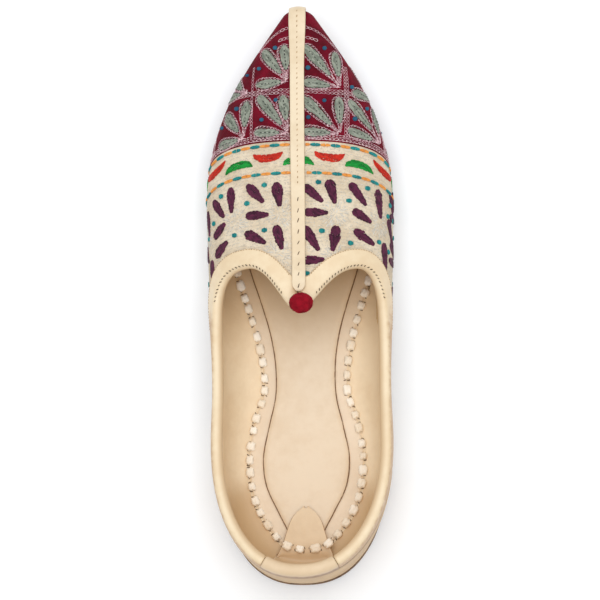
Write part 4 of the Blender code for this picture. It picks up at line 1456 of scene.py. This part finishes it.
def sew(name, stitches, shape, material, width, height, unevenness=0.12, seed=1):
    """One piece of joined stitches from (centre, along, up, tone) rows in millimetres."""
    mesh = bpy.data.meshes.new(name)
    mesh.from_pydata([in_frame(stitch[0]) for stitch in stitches], [], [])
    for label, place in (("along", 1), ("up", 2)):
        layer = mesh.attributes.new(label, "FLOAT_VECTOR", "POINT")
        scale = MM if label == "along" else 1.0
        vectors = [np.array(stitch[place]) * scale for stitch in stitches]
        layer.data.foreach_set("vector", np.array(vectors).ravel())
    tones = mesh.attributes.new("tone", "FLOAT", "POINT")
    tones.data.foreach_set("value", [stitch[3] for stitch in stitches])
    item = bpy.data.objects.new(name, mesh)
    bpy.context.scene.collection.objects.link(item)
    sewing = item.modifiers.new("Sewing", "NODES")
    sewing.node_group = SEWING
    values = {"Stitch": SHAPES[shape], "Width": width * MM, "Height": height * MM,
              "Unevenness": unevenness, "Seed": seed, "Material": material}
    for label, value in values.items():
        sewing[SEWING_INPUTS[label]] = value
    plain(item)
    item.data.materials.clear()
    item.data.materials.append(material)
    print(name, len(stitches), "stitches")
    return item


# %% [markdown]
# The embroidery is a traditional repeat of fans: three petals that spring from the corner of
# each square. It could be painted on with a texture, but thread catches the light, so each petal is
# filled with rows of short stitches. Its places are distances across and along the cloth, and
# the same fan is drawn at every hub, with small changes from a seeded chance.

# %% Charts of the repeat
# Each fan has its hub, and then the turn, the reach and the length of its upright, its diagonal
# and its lying petal.
BIG_FANS = (
    (-4.7, 95.4, (96, 12.1, 12.6), (127, 12.9, 16.0), (183, 8.8, 11.6)),
    (19.6, 93.0, (97, 11.9, 12.6), (130, 16.9, 19.0), (173, 11.3, 13.0)),
    (-4.2, 70.0, (96, 12.6, 12.0), (125, 14.4, 18.0), (178, 9.7, 11.8)),
    (19.3, 69.8, (92, 11.8, 12.6), (134, 15.4, 18.4), (179, 10.8, 12.6)),
    (-24.9, 68.6, (86, 12.2, 12.6), (129, 11.2, 13.0), (190, 8.6, 11.4)),
    (40.6, 67.2, (95, 12.0, 12.4), (130, 17.2, 17.4), (163, 12.0, 12.6)),
    (-24.0, 91.2, (90, 0.0, 0.0), (139, 9.5, 11.5), (182, 9.0, 10.4)),
    (42.8, 89.4, (94, 11.8, 12.4), (126, 13.8, 15.0), (172, 11.0, 12.4)),
    (-46.6, 66.4, (94, 12.0, 12.4), (130, 14.0, 15.4), (180, 9.6, 11.8)),
    (62.4, 64.6, (94, 12.0, 12.4), (130, 14.0, 15.4), (180, 9.6, 11.8)),
)
BIG_PETAL_WIDTHS = (5.2, 5.1, 4.9)
BIG_DOTS = (
    (-10.5, 112.5), (12.3, 112.2), (-18.4, 103.0), (4.6, 102.0), (-24.8, 100.6), (25.4, 93.8),
    (-9.9, 86.4), (12.1, 86.0), (-29.1, 84.0), (33.3, 84.0), (-16.3, 77.0), (4.9, 77.5), (26.4, 77.8),
    (-38.0, 76.0), (-50.0, 80.0), (55.0, 80.0), (48.0, 75.0),
)
# Each has its middle, its turn, its length and its width.
PURPLE_PETALS = (
    (-31.0, 39.4, 92, 11.8, 3.8), (-19.0, 41.4, 131, 11.4, 4.4), (-8.6, 40.5, 98, 11.3, 4.9),
    (-38.4, 36.3, 127, 10.8, 4.2), (-18.1, 31.1, 180, 10.4, 4.1), (7.1, 40.6, 137, 11.0, 4.3),
    (15.4, 41.7, 103, 11.2, 4.7), (27.6, 41.2, 127, 12.2, 4.1), (38.6, 37.9, 98, 13.2, 4.0),
    (7.9, 31.7, 180, 11.0, 4.1), (29.6, 31.0, 152, 10.2, 4.2), (-38.3, 26.0, 218, 9.4, 4.2),
    (-19.1, 20.6, 150, 11.2, 4.3), (-8.2, 20.2, 103, 11.4, 4.9), (6.1, 19.4, 120, 12.6, 4.5),
    (16.4, 19.7, 80, 11.8, 4.9), (30.8, 21.3, 150, 11.6, 4.4), (-37.4, 17.2, 218, 9.8, 4.6),
    (6.4, 9.4, 183, 10.4, 4.1), (47.9, 27.0, 122, 10.4, 4.2), (43.0, 13.5, 96, 13.0, 4.0),
    (-47.5, 31.0, 92, 11.4, 4.2), (-45.0, 7.6, 92, 11.0, 4.2), (-39.0, 8.6, 90, 2.6, 2.5),
    (48.8, 39.5, 112, 11.0, 4.0), (53.0, 18.0, 150, 10.4, 4.2), (-52.5, 17.0, 130, 10.8, 4.2),
)
TEAL_DOTS = (
    (-14.8, 45.2), (-36.5, 42.0), (-23.0, 37.0), (9.4, 46.1), (23.1, 37.8), (32.3, 44.5), (44.8, 33.0),
    (-42.1, 30.0), (-14.8, 23.9), (-29.6, 22.8), (10.8, 23.1), (23.8, 18.0), (38.8, 20.0), (3.9, 3.2),
    (-49.0, 24.0), (50.5, 32.0), (-51.0, 42.0),
)
BURSTS = (
    (-7.7, 31.2), (16.6, 31.3), (-29.3, 28.5), (-9.0, 12.5), (16.5, 10.0), (39.0, 29.0), (-50.0, 26.0),
)
SIDE_FAN = ((95, 9.8, 11.2, 4.4), (133, 12.6, 11.2, 4.1), (178, 10.4, 10.4, 4.1))
SIDE_DOTS = ((-7.2, 14.4), (-15.4, 6.2))
SIDE_HUBS = [
    (side * across, y)
    for places, ys in (((62.0, 84.0), (32.0, 11.0)), ((46.0, 66.0, 86.0), (-11.0, -32.0, -53.0)))
    for side in (-1, 1) for across in places for y in ys
]
# Half-widths of a petal, each as a share of the way to its round end and a share of the widest.
BIG_PROFILE = (
    (0, 0.12), (0.08, 0.34), (0.25, 0.62), (0.5, 0.9), (0.72, 1.0), (0.88, 0.86), (0.96, 0.56),
    (1, 0.1),
)
SMALL_PROFILE = (
    (0, 0.16), (0.1, 0.4), (0.3, 0.72), (0.52, 0.96), (0.76, 1.04), (0.92, 0.9), (0.98, 0.6),
    (1, 0.2),
)
chance = random.Random(7)


def profile_width(profile, t, wide):
    """Half-width of a petal part of the way from its point to its round end."""
    places, shares = zip(*profile)
    return 0.5 * wide * float(np.interp(t, places, shares))


def covered(point, normal):
    """True where a leather strip lies over the cloth."""
    start = in_frame(point)
    return any(tree.ray_cast(start, Vector(normal), 3.5 * MM)[0] is not None for tree in STRIPS)


STRIPS = [tree_of(item) for item in (bindings[1], bindings[-1], strip, counter)]


def open_air(across, y):
    """True in the opening of the throat, or past the sole."""
    arcs = arcs_at(y)
    if abs(across) > arcs[-1] - 0.8 or y > 126:
        return True
    if y >= LOBE_Y:
        return False
    side = 1 if across >= 0 else -1
    angle = float(np.interp(abs(across), arcs, ARC_ANGLES))
    if y > QUARTER_START:
        return side_edge(y, side) < angle < tongue_edge(y, side)
    return angle > side_edge(y, side)


def heading(turn):
    """Direction on the cloth at an angle."""
    return np.array((math.cos(turn), math.sin(turn)))


def stitch(bag, first, second, lift=0.14):
    """Add a stitch between two (across, y) places, unless it has no cloth to lie on."""
    tone = chance.random()
    middle = ((first[0] + second[0]) / 2, (first[1] + second[1]) / 2)
    if open_air(*middle) or open_air(*first) or open_air(*second):
        return
    point, normal = on_cloth(*middle, lift)
    if covered(point, normal):
        return
    along = on_cloth(*second, lift)[0] - on_cloth(*first, lift)[0]
    bag.append((point, along, normal, tone))


def on_petal(middle, turn, long, wide, profile, t, f, extra=0.0):
    """Place in a petal: t runs from its point to its round end, f from one edge to the other."""
    ahead = heading(math.radians(turn))
    aside = np.array((-ahead[1], ahead[0]))
    half = profile_width(profile, t, wide) + extra
    return np.array(middle) + ahead * (t - 0.5) * long + aside * f * half


def petal(fill, middle, turn, long, wide, profile, rows, step=2.0):
    """Rows of short stitches that fill a petal, a little uneven at its edge."""
    steps = max(2, round(long / step))
    uneven = [chance.uniform(0.84, 1.14) for _ in range(steps + 2)]
    for r in range(rows):
        f = (2 * r + 1) / rows - 1
        shift = 0.5 * (r % 2) / steps
        for k in range(-1, steps):
            low = max((k - 0.04) / steps + shift, 0.0)
            high = min((k + 1.06) / steps + shift, 1.0)
            if high - low < 0.04 or profile_width(profile, (low + high) / 2, wide) * rows < 1.0:
                continue
            g = f * 0.92 * uneven[k + 1]
            stitch(fill, *(on_petal(middle, turn, long, wide, profile, t, g) for t in (low, high)))


def along_path(bag, places, length, gap=0.0, lift=0.16, wobble=0.0):
    """Stitches end to end along a path of (across, y) places."""
    places = np.array(places)
    lengths = lengths_along(places)
    count = max(1, round(lengths[-1] / (length + gap)))
    for k in range(count):
        shares = (k / count, (k + length / (length + gap)) / count)
        start, end = (place_at(places, lengths, share * lengths[-1]) for share in shares)
        swing = np.array([chance.uniform(-wobble, wobble) for _ in range(2)])
        stitch(bag, start + swing, end - swing, lift)


# %% Fans on the burgundy cloth
grey_green, pale_pink, links, petal_links, bold_links, dark_green, blue_dots = ([] for _ in range(7))
HUB_STEPS, EDGE_STEPS, DASH_STEPS = 6, 24, 8


def big_petal(middle, turn, long, wide, hub):
    """Filled petal with a dashed middle, dark dots round it and a pale outline from the hub."""
    shape = (middle, turn, long, wide, BIG_PROFILE)
    petal(grey_green, *shape, rows=7)
    dashes = [on_petal(*shape, 0.16 + 0.7 * k / DASH_STEPS, 0.0) for k in range(DASH_STEPS + 1)]
    along_path(dark_green, dashes, 0.9, 0.9, 0.34, 0.12)
    for f in (1, -1):
        edge = [on_petal(*shape, k / EDGE_STEPS, f, 0.2) for k in range(EDGE_STEPS + 1)]
        along_path(dark_green, edge, 0.8, 0.75, 0.3, 0.08)
        way = on_petal(*shape, 0.02, f, 0.3) - np.array(hub)
        outer = [np.array(hub) + way * k / HUB_STEPS for k in range(1, HUB_STEPS)]
        outer += [on_petal(*shape, k / EDGE_STEPS, f, 0.62) for k in range(EDGE_STEPS + 1)]
        outer.append(on_petal(*shape, 1.035, 0.0))
        along_path(petal_links, outer, 1.45, 0.12, 0.2, 0.1)
        along_path(pale_pink, outer, 0.7, 1.1, 0.24, 0.25)


def corner_threads(across, y, fan):
    """Loose pale stitches where the petals' outlines run together."""
    for turn, far, _ in fan:
        for _ in range(4):
            way = heading(math.radians(turn + chance.uniform(-16, 16)))
            start = np.array((across, y)) + way * chance.uniform(-0.8, max(far - 7.0, 0.5))
            stitch(pale_pink, start, start + way * chance.uniform(1.0, 2.0), 0.24)


for across, y, *fan in BIG_FANS:
    for (turn, far, long), wide in zip(fan, BIG_PETAL_WIDTHS):
        if long == 0:
            continue
        turn += chance.uniform(-2, 2)
        middle = np.array((across, y)) + far * heading(math.radians(turn))
        big_petal(middle, turn, long * chance.uniform(0.97, 1.03), wide, (across, y))
    corner_threads(across, y, fan)
for across, y in BIG_DOTS:
    if not open_air(across, y):
        point, normal = on_cloth(across, y, 0.3)
        if not covered(point, normal):
            blue_dots.append((point, (2.1, 0.3, 0.0), normal, chance.random()))

for y, bow, low, high in ((91.3, 0.35, -40, 40), (89.9, 0.35, -40, 40), (67.4, 1.0, -58, 58)):
    along_path(links, [(a, y - bow * sag(a)) for a in range(low, high + 1, 2)], 1.95, wobble=0.12)
for y in (66.9, 68.5, 69.4):
    along_path(pale_pink, [(a, y - sag(a)) for a in range(-58, 59, 2)], 1.3, 0.25, 0.18, 0.14)
# Each line up the toe has its place across, its top and how many chains it is wide.
TOE_LINES = ((-21.2, 104.0, 1), (0.6, 116.0, 2), (21.9, 104.0, 2), (43.6, 88.0, 2), (-43.0, 86.0, 1))
LINE_APART, LINE_STEPS, LINE_FOOT = 1.35, 20, 68.5
for line_x, top, count in TOE_LINES:
    base = LINE_FOOT - sag(line_x)
    ys = [base + (top - base) * s / LINE_STEPS for s in range(LINE_STEPS + 1)]
    for k in range(count):
        along_path(links, [(line_x + LINE_APART * k, y) for y in ys], 1.75)
along_path(bold_links, [(a, 122.6 - 0.027 * a * a) for a in np.arange(-20, 20.5, 1.0)], 1.9)
along_path(bold_links, [(a, 117.4 - 0.02 * a * a) for a in np.arange(-9, 9.5, 1.0)], 1.8, 0.0, 0.2, 0.2)
outline_count = sum(len(bag) for bag in (pale_pink, links, petal_links))
print("big fans:", len(grey_green), "stitches,", outline_count, "in the outlines")

# %% Fans, half-moons and ropes on the cream cloth
purple, teal, orange, red, green, silver = ([] for _ in range(6))
BURST_STITCHES, BURST_REACH = 150, 5.8
SMALL_PETAL = {"profile": SMALL_PROFILE, "rows": 7, "step": 1.6}


def small_dot(across, y):
    """Round dot of five stitches side by side."""
    for aside in (-1.0, -0.5, 0.0, 0.5, 1.0):
        reach = 1.08 * math.sqrt(1 - (aside / 1.3) ** 2) + 0.1
        stitch(teal, (across + aside, y - reach), (across + aside, y + reach), lift=0.22)


def under_petal(spot):
    """True where a purple petal covers the cloth, so that a fine stitch can't lie there."""
    for across, y, turn, long, wide in PURPLE_PETALS:
        way = heading(math.radians(turn))
        away = (spot[0] - across, spot[1] - y)
        t = (away[0] * way[0] + away[1] * way[1]) / long + 0.5
        aside = abs(away[1] * way[0] - away[0] * way[1])
        if -0.1 < t < 1.1 and aside < profile_width(SMALL_PROFILE, t, wide) + 0.7:
            return True
    return False


def burst(across, y):
    """Fine pale stitches that run out from the corner of a fan."""
    for _ in range(BURST_STITCHES):
        way = heading(chance.uniform(0, 2 * math.pi))
        start = np.array((across, y)) + way * (BURST_REACH * math.sqrt(chance.random()))
        if not under_petal(start + way):
            stitch(silver, start, start + way * chance.uniform(0.9, 1.9), lift=0.05)


for across, y, turn, long, wide in PURPLE_PETALS:
    petal(purple, (across, y), turn, long * 1.03, wide * 1.08, **SMALL_PETAL)
for spot in TEAL_DOTS:
    small_dot(*spot)
for spot in BURSTS:
    burst(*spot)
for across, y in SIDE_HUBS:
    for turn, far, long, wide in SIDE_FAN:
        turn = math.radians(turn + chance.uniform(-6, 6))
        middle = np.array((across, y)) + far * heading(turn)
        petal(purple, middle, math.degrees(turn), long * chance.uniform(0.9, 1.06), wide, **SMALL_PETAL)
    for aside, ahead in SIDE_DOTS:
        small_dot(across + aside + chance.uniform(-0.7, 0.7), y + ahead + chance.uniform(-0.7, 0.7))
    burst(across, y)


ROPE_PITCH = 4.55


def rope(y0, first):
    """A cord of orange and teal stitches in turn, across the whole vamp."""
    for k in range(-20, 20):
        bag = teal if k % 2 else orange
        bulge = 1.3 if k % 2 else 1.1
        for off in (-0.5, -0.25, 0.0, 0.25, 0.5):
            for part in (0, 1):
                ends = []
                for ahead, opened in ((0.02, 1.0 if part else 0.3), (0.5, 0.3 if part else 1.0)):
                    across = (k + 0.5 * part + ahead) * ROPE_PITCH + first
                    ends.append((across, y0 - sag(across) + off * bulge * opened))
                stitch(bag, *ends, lift=0.3)


rope(64.2, 1.2)
rope(50.6, 1.8)

MOON_PITCH, MOON_WIDTH, MOON_DEEP, MOON_ROWS, MOON_STEPS = 13.9, 13.6, 3.7, 6, 6
for k in range(-5, 6):
    middle = 0.6 + MOON_PITCH * k
    upward = k % 2 == 0
    bag = green if upward else red
    y0 = (55.0 if upward else 60.0) - sag(middle)
    slope = -0.0016 * middle * 2 - 4.4e-6 * middle ** 3
    for r in range(MOON_ROWS):
        for s in range(MOON_STEPS):
            ends = []
            for at in (s, s + 1.02):
                u = min(max((at + 0.4 * (r % 2)) / MOON_STEPS - 0.55, -0.5), 0.5)
                belly = MOON_DEEP * max(0.0, 1 - (2 * u) ** 2) ** 0.36 * (r + 0.5) / MOON_ROWS
                hang = belly * chance.uniform(0.93, 1.07) - 0.55 * (2 * u) ** 2
                down = hang if upward else -hang
                ends.append((middle + MOON_WIDTH * u, y0 + slope * MOON_WIDTH * u + down))
            if ends[1][0] - ends[0][0] > 0.5:
                stitch(bag, *ends, lift=0.18)

ROWS_OF_RUNNING_STITCH = 50
for row in range(ROWS_OF_RUNNING_STITCH):
    y = BORDER_Y - 3.0 - ROW_PITCH * row
    for k in range(-76, 77):
        a0 = k * 1.15 + chance.uniform(-0.3, 0.3)
        if chance.random() < 0.42:
            wander = 0.5 * noise.noise(Vector((a0 * 0.08, y * 0.3, 0.0)))
            first, second = ((a, y + wander - sag(a)) for a in (a0, a0 + 0.85))
            if not under_petal(first):
                stitch(silver, first, second, lift=0.03)

# %% Sew every colour
BAGS = (
    ("grey_green_petals", grey_green, "thread", "grey_green", 0.86, 0.5),
    ("pale_pink_outlines", pale_pink, "fine", "pale_pink", 0.34, 0.36),
    ("pale_pink_chains", links, "link", "pale_pink", 1.0, 0.36),
    ("petal_chains", petal_links, "link", "pale_pink", 0.86, 0.4),
    ("toe_chains", bold_links, "link", "pale_pink", 1.2, 0.42),
    ("dark_green_dashes", dark_green, "fine", "dark_green", 0.46, 0.34),
    ("blue_knots", blue_dots, "dot", "blue", 2.1, 1.2),
    ("purple_petals", purple, "thread", "purple", 0.95, 0.6),
    ("teal_stitches", teal, "thread", "teal", 0.64, 0.6),
    ("orange_stitches", orange, "thread", "orange", 0.6, 0.6),
    ("red_moons", red, "thread", "red", 0.88, 0.6),
    ("green_moons", green, "thread", "green", 0.88, 0.6),
    ("silver_stitches", silver, "fine", "silver", 0.26, 0.16),
)
for seed, (name, bag, shape, finish, width, height) in enumerate(BAGS):
    ride(sew(name, bag, shape, THREADS[finish], width, height, seed=seed), "embroidered_cloth")


# %% [markdown]
# The leather is sewn too: slanted ticks along the facing's edge, a fine running stitch at its
# outer edge, ticks up the middle of the ridge strip, and round knots of lace that hold the pale
# cover of the insole down. All of them use the same tree as the embroidery.

# %% Seams of the leather
def turned(ahead, aside, turn):
    """A direction turned from straight ahead towards the side."""
    return math.cos(turn) * ahead + math.sin(turn) * aside


def seam(bag, points, normals, pitch, length, slant=0.0, wobble=0.1):
    """Stitches at an even pitch along a path on a piece, each turned by a slant."""
    points, normals = np.array(points), np.array(normals)
    lengths = lengths_along(points)
    for at in np.arange(pitch / 2, lengths[-1] - pitch / 2, pitch):
        at += chance.uniform(-wobble, wobble)
        spot = place_at(points, lengths, at)
        ahead = place_at(points, lengths, at + 0.5) - spot
        normal = unit(place_at(normals, lengths, at))
        ahead /= max(np.linalg.norm(ahead), 1e-6)
        aside = np.cross(normal, ahead)
        turn = slant + chance.uniform(-0.15, 0.15)
        bag.append((spot, length * turned(ahead, aside, turn), normal, chance.random()))


def facing_path(side, share, first, last, past=0.0):
    """Path on the facing's outside, part of the way across it or just past the upper's edge."""
    run, ends = RUNS[side]
    points, normals = [], []
    for start, end in list(zip(run, ends))[first:last]:
        spot = between(start, end, share)
        normal = last_normal(*spot)
        place = last_point(*spot) + (GAP + BINDING_THICK + 0.02) * normal
        if past:
            down = down_strip(start, end)
            place -= past * down + 0.3 * past * past * normal
            normal = unit(normal - 0.6 * past * down)
        points.append(bent(place, side))
        normals.append((side * normal[0], normal[1], normal[2]))
    return points, normals


dark, pale_seam, faint = [], [], []
for side in (1, -1):
    seam(dark, *facing_path(side, 0.0, 4, 2 * LOBE_STEPS - 2, 0.95), 1.75, 1.1, slant=0.75 * side)
    seam(pale_seam, *facing_path(side, 0.93, 6, 2 * LOBE_STEPS + 4), 1.3, 0.85)

middle_line = np.array([line[STRIP_SHARES.index(0.0)] for line in strip_lines])
strip_normals, strip_points = [], []
for i, point in enumerate(middle_line):
    ahead = middle_line[min(i + 1, len(middle_line) - 1)] - middle_line[max(i - 1, 0)]
    normal = unit(np.cross(np.array((1.0, 0.0, 0.0)), ahead))
    strip_normals.append(normal)
    strip_points.append(point + normal * (STRIP_THICK + 0.03))
seam(dark, strip_points[:27], strip_normals[:27], 5.2, 2.1, slant=-0.3, wobble=0.4)
seam(faint, strip_points[26:76], strip_normals[26:76], 2.6, 1.0, slant=-0.2, wobble=0.3)

# %% Knots round the insole
KNOT_PITCH, KNOT_SIZES, HOLE_ASIDE, SPECK_LENGTH = 6.3, (3.3, 4.4), (-0.75, 0.9), 1.4


def cover_path():
    """The cover's edge from the left front, round the heel, to the right front."""
    ys = np.linspace(14.0, COVER_ROWS[-1][0] + 0.05, 140)
    left = [(centre(y) + SOCK_SHIFT - cover_reach(y), y) for y in ys]
    return left + [(2 * (centre(y) + SOCK_SHIFT) - x, y) for x, y in left[::-1]]


knots, hole_shades = [], []
edge = np.array(cover_path())
edge_lengths = lengths_along(edge)
for at in np.arange(2.0, edge_lengths[-1], KNOT_PITCH):
    at += chance.uniform(-0.7, 0.7)
    x, y = place_at(edge, edge_lengths, at)
    x2, y2 = place_at(edge, edge_lengths, at + 1)
    on_tab = y < TAB_ROWS[-1][0] and abs(x - centre(y) - SOCK_SHIFT) < tab_half(y)
    z = TAB_BASE + WRAP_THICK + 0.5 if on_tab else floor_line(y) + INSOLE_TOP + 0.55
    ahead = unit(np.array((x2 - x, y2 - y, 0.0)))
    aside = np.array((-ahead[1], ahead[0], 0.0))
    size = chance.uniform(*KNOT_SIZES)
    up = np.array((chance.uniform(-0.25, 0.25), chance.uniform(-0.25, 0.25), 1.0))
    knots.append((np.array((x, y, z)), ahead * size, up, chance.random()))
    # Dark marks at the holes beside each knot: painted shade in the lace holes.
    for end in (-1, 1):
        for hand in HOLE_ASIDE:
            if chance.random() < 0.8:
                hole = np.array((x, y, z - 0.45)) + ahead * end * size * 0.56 + aside * hand
                along = SPECK_LENGTH * turned(ahead, aside, chance.uniform(0.5, 2.2))
                hole_shades.append((hole, along, (0, 0, 1), 0.8))

LEATHER_BAGS = (
    ("insole_knots", knots, "knot", "knot", 3.5, 2.5, 21, "insole_leather"),
    ("knot_threads", hole_shades, "thread", "speck", 0.42, 0.34, 24, "insole_leather"),
    ("dark_seams", dark, "thread", "dark", 0.4, 0.34, 22, "binding_leather"),
    ("faint_seam", faint, "thread", "tan", 0.4, 0.3, 25, "strip_leather"),
    ("fine_seams", pale_seam, "thread", "tan", 0.36, 0.22, 23, "binding_leather"),
)
for name, bag, shape, finish, width, height, seed, slot in LEATHER_BAGS:
    ride(sew(name, bag, shape, THREADS[finish], width, height, seed=seed), slot)

# %% [markdown]
# The pompom is trimmed felt: a firm ball with a short uneven nap. Particles would be lost in the
# export, so the ball is modelled with small tufts and the nap is a crowd of tiny fibres.

# %% The pompom
FELT = thread("crimson_felt", (146, 7, 30), (102, 4, 20), 0.95, 1400.0)


FIBRES, GOLDEN_TURN = 1500, math.pi * (3 - math.sqrt(5))


def make_pompom():
    """Felt ball on the tongue's tip, with fibres standing out of it."""
    x, y = POMPOM_PLACE
    tongue_top = LAST["crown"](y) + 2 * GAP + BINDING_THICK
    middle = np.array((x + centre(y), y, tongue_top + POMPOM_HALVES[2] * 1.06))
    mesh_data = bmesh.new()
    bmesh.ops.create_icosphere(mesh_data, subdivisions=5, radius=1.0)
    for vertex in mesh_data.verts:
        way = vertex.co.normalized()
        tuft = 0.97 + 0.09 * noise.noise(way * 2.2) + 0.04 * noise.noise(way * 8.0)
        spot = middle + np.array([way[k] * POMPOM_HALVES[k] * tuft for k in range(3)])
        vertex.co = in_frame(spot)
    ball = piece("pompom_felt", mesh_data, [FELT])
    fibres = []
    for k in range(FIBRES):
        z = 1 - 2 * (k + 0.5) / FIBRES
        turn, ring = GOLDEN_TURN * k, math.sqrt(1 - z * z)
        way = np.array((ring * math.cos(turn), ring * math.sin(turn), z))
        lean = np.array([chance.uniform(-1, 1) for _ in range(3)])
        along = way * 0.25 + lean * 0.6
        root = middle + way * np.array(POMPOM_HALVES) * 0.98
        fibres.append((root, along * 0.9, way, chance.random()))
    nap = sew("pompom_nap", fibres, "thread", FELT, 0.09, 0.09, seed=31)
    return ball, nap


pompom, nap = make_pompom()
ride(pompom, "crimson_felt", "pompom")
ride(nap, "crimson_felt")

# %% [markdown]
# The shoe stands on a plain pale floor under a broad soft light, as in a studio. The camera is
# about a metre above it and a little behind the heel, so the pointed toe is at the top.

# %% Floor, light and camera
CAMERA_PLACE = (0.0444, -0.1757, 0.9848)
CAMERA_TARGET = (-0.0011, -0.0021, 0.0)
CAMERA_LENS = 131.3
CAMERA_UP = (0.0009, 1.0, 0.0)
WHITE, FLOOR_TONE, FLOOR_GLOW, WORLD_LIGHT = (1.0, 1.0, 1.0, 1.0), (0.955, 0.975, 1.0, 1.0), 0.05, 0.59
# Each light has its place in metres, its size and its power in watts.
LIGHTS = {"overhead": ((0.05, 0.3, 1.5), 1.6, 14.3), "heel_side": ((0.0, -0.8, 1.2), 1.2, 3.4)}


def make_floor():
    """Large pale floor at the height that the sole rests on."""
    mesh_data = bmesh.new()
    bmesh.ops.create_grid(mesh_data, x_segments=1, y_segments=1, size=4.0)
    floor = hidden("studio_floor", mesh_data)
    bpy.context.scene.collection.objects.link(floor)
    material, _, shader = start_material("pale_floor", 0.9)
    look = {"Base Color": FLOOR_TONE, "Specular IOR Level": 0.1, "Emission Color": WHITE,
            "Emission Strength": FLOOR_GLOW}
    for label, value in look.items():
        shader.inputs[label].default_value = value
    floor.data.materials.append(material)
    floor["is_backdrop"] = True


def area_light(name, place, size, power):
    """Soft square light that looks at the shoe."""
    light = bpy.data.lights.new(name, "AREA")
    light.size = size
    light.energy = power
    item = bpy.data.objects.new(name, light)
    item.location = place
    item.rotation_euler = (Vector((0, 0, 0)) - Vector(place)).to_track_quat("-Z", "Y").to_euler()
    bpy.context.scene.collection.objects.link(item)


def make_camera():
    """Camera at the photographed angle, turned so that the one shoe is in the middle."""
    data = bpy.data.cameras.new("studio_camera")
    data.lens = CAMERA_LENS
    data.sensor_width = 36.0
    data.clip_start = 0.05
    item = bpy.data.objects.new("studio_camera", data)
    ahead = (Vector(CAMERA_TARGET) - Vector(CAMERA_PLACE)).normalized()
    right = ahead.cross(Vector(CAMERA_UP)).normalized()
    up = right.cross(ahead)
    turn = Matrix((right, up, -ahead)).transposed().to_4x4()
    item.matrix_world = Matrix.Translation(CAMERA_PLACE) @ turn
    bpy.context.scene.collection.objects.link(item)
    bpy.context.scene.camera = item


make_floor()
for name, light in LIGHTS.items():
    area_light(name, *light)
world = bpy.data.worlds.new("studio")
bpy.context.scene.world = world
world.use_nodes = True
for label, value in (("Color", WHITE), ("Strength", WORLD_LIGHT)):
    world.node_tree.nodes["Background"].inputs[label].default_value = value
bpy.context.scene.view_settings.view_transform = "Standard"
make_camera()

# %% Tidy-up and size
for shape in SHAPES.values():
    bpy.data.objects.remove(shape)
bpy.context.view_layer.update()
triangles = sum(len(p.vertices) - 2 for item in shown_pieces() for p in item.data.polygons)
print("triangles in all:", triangles)
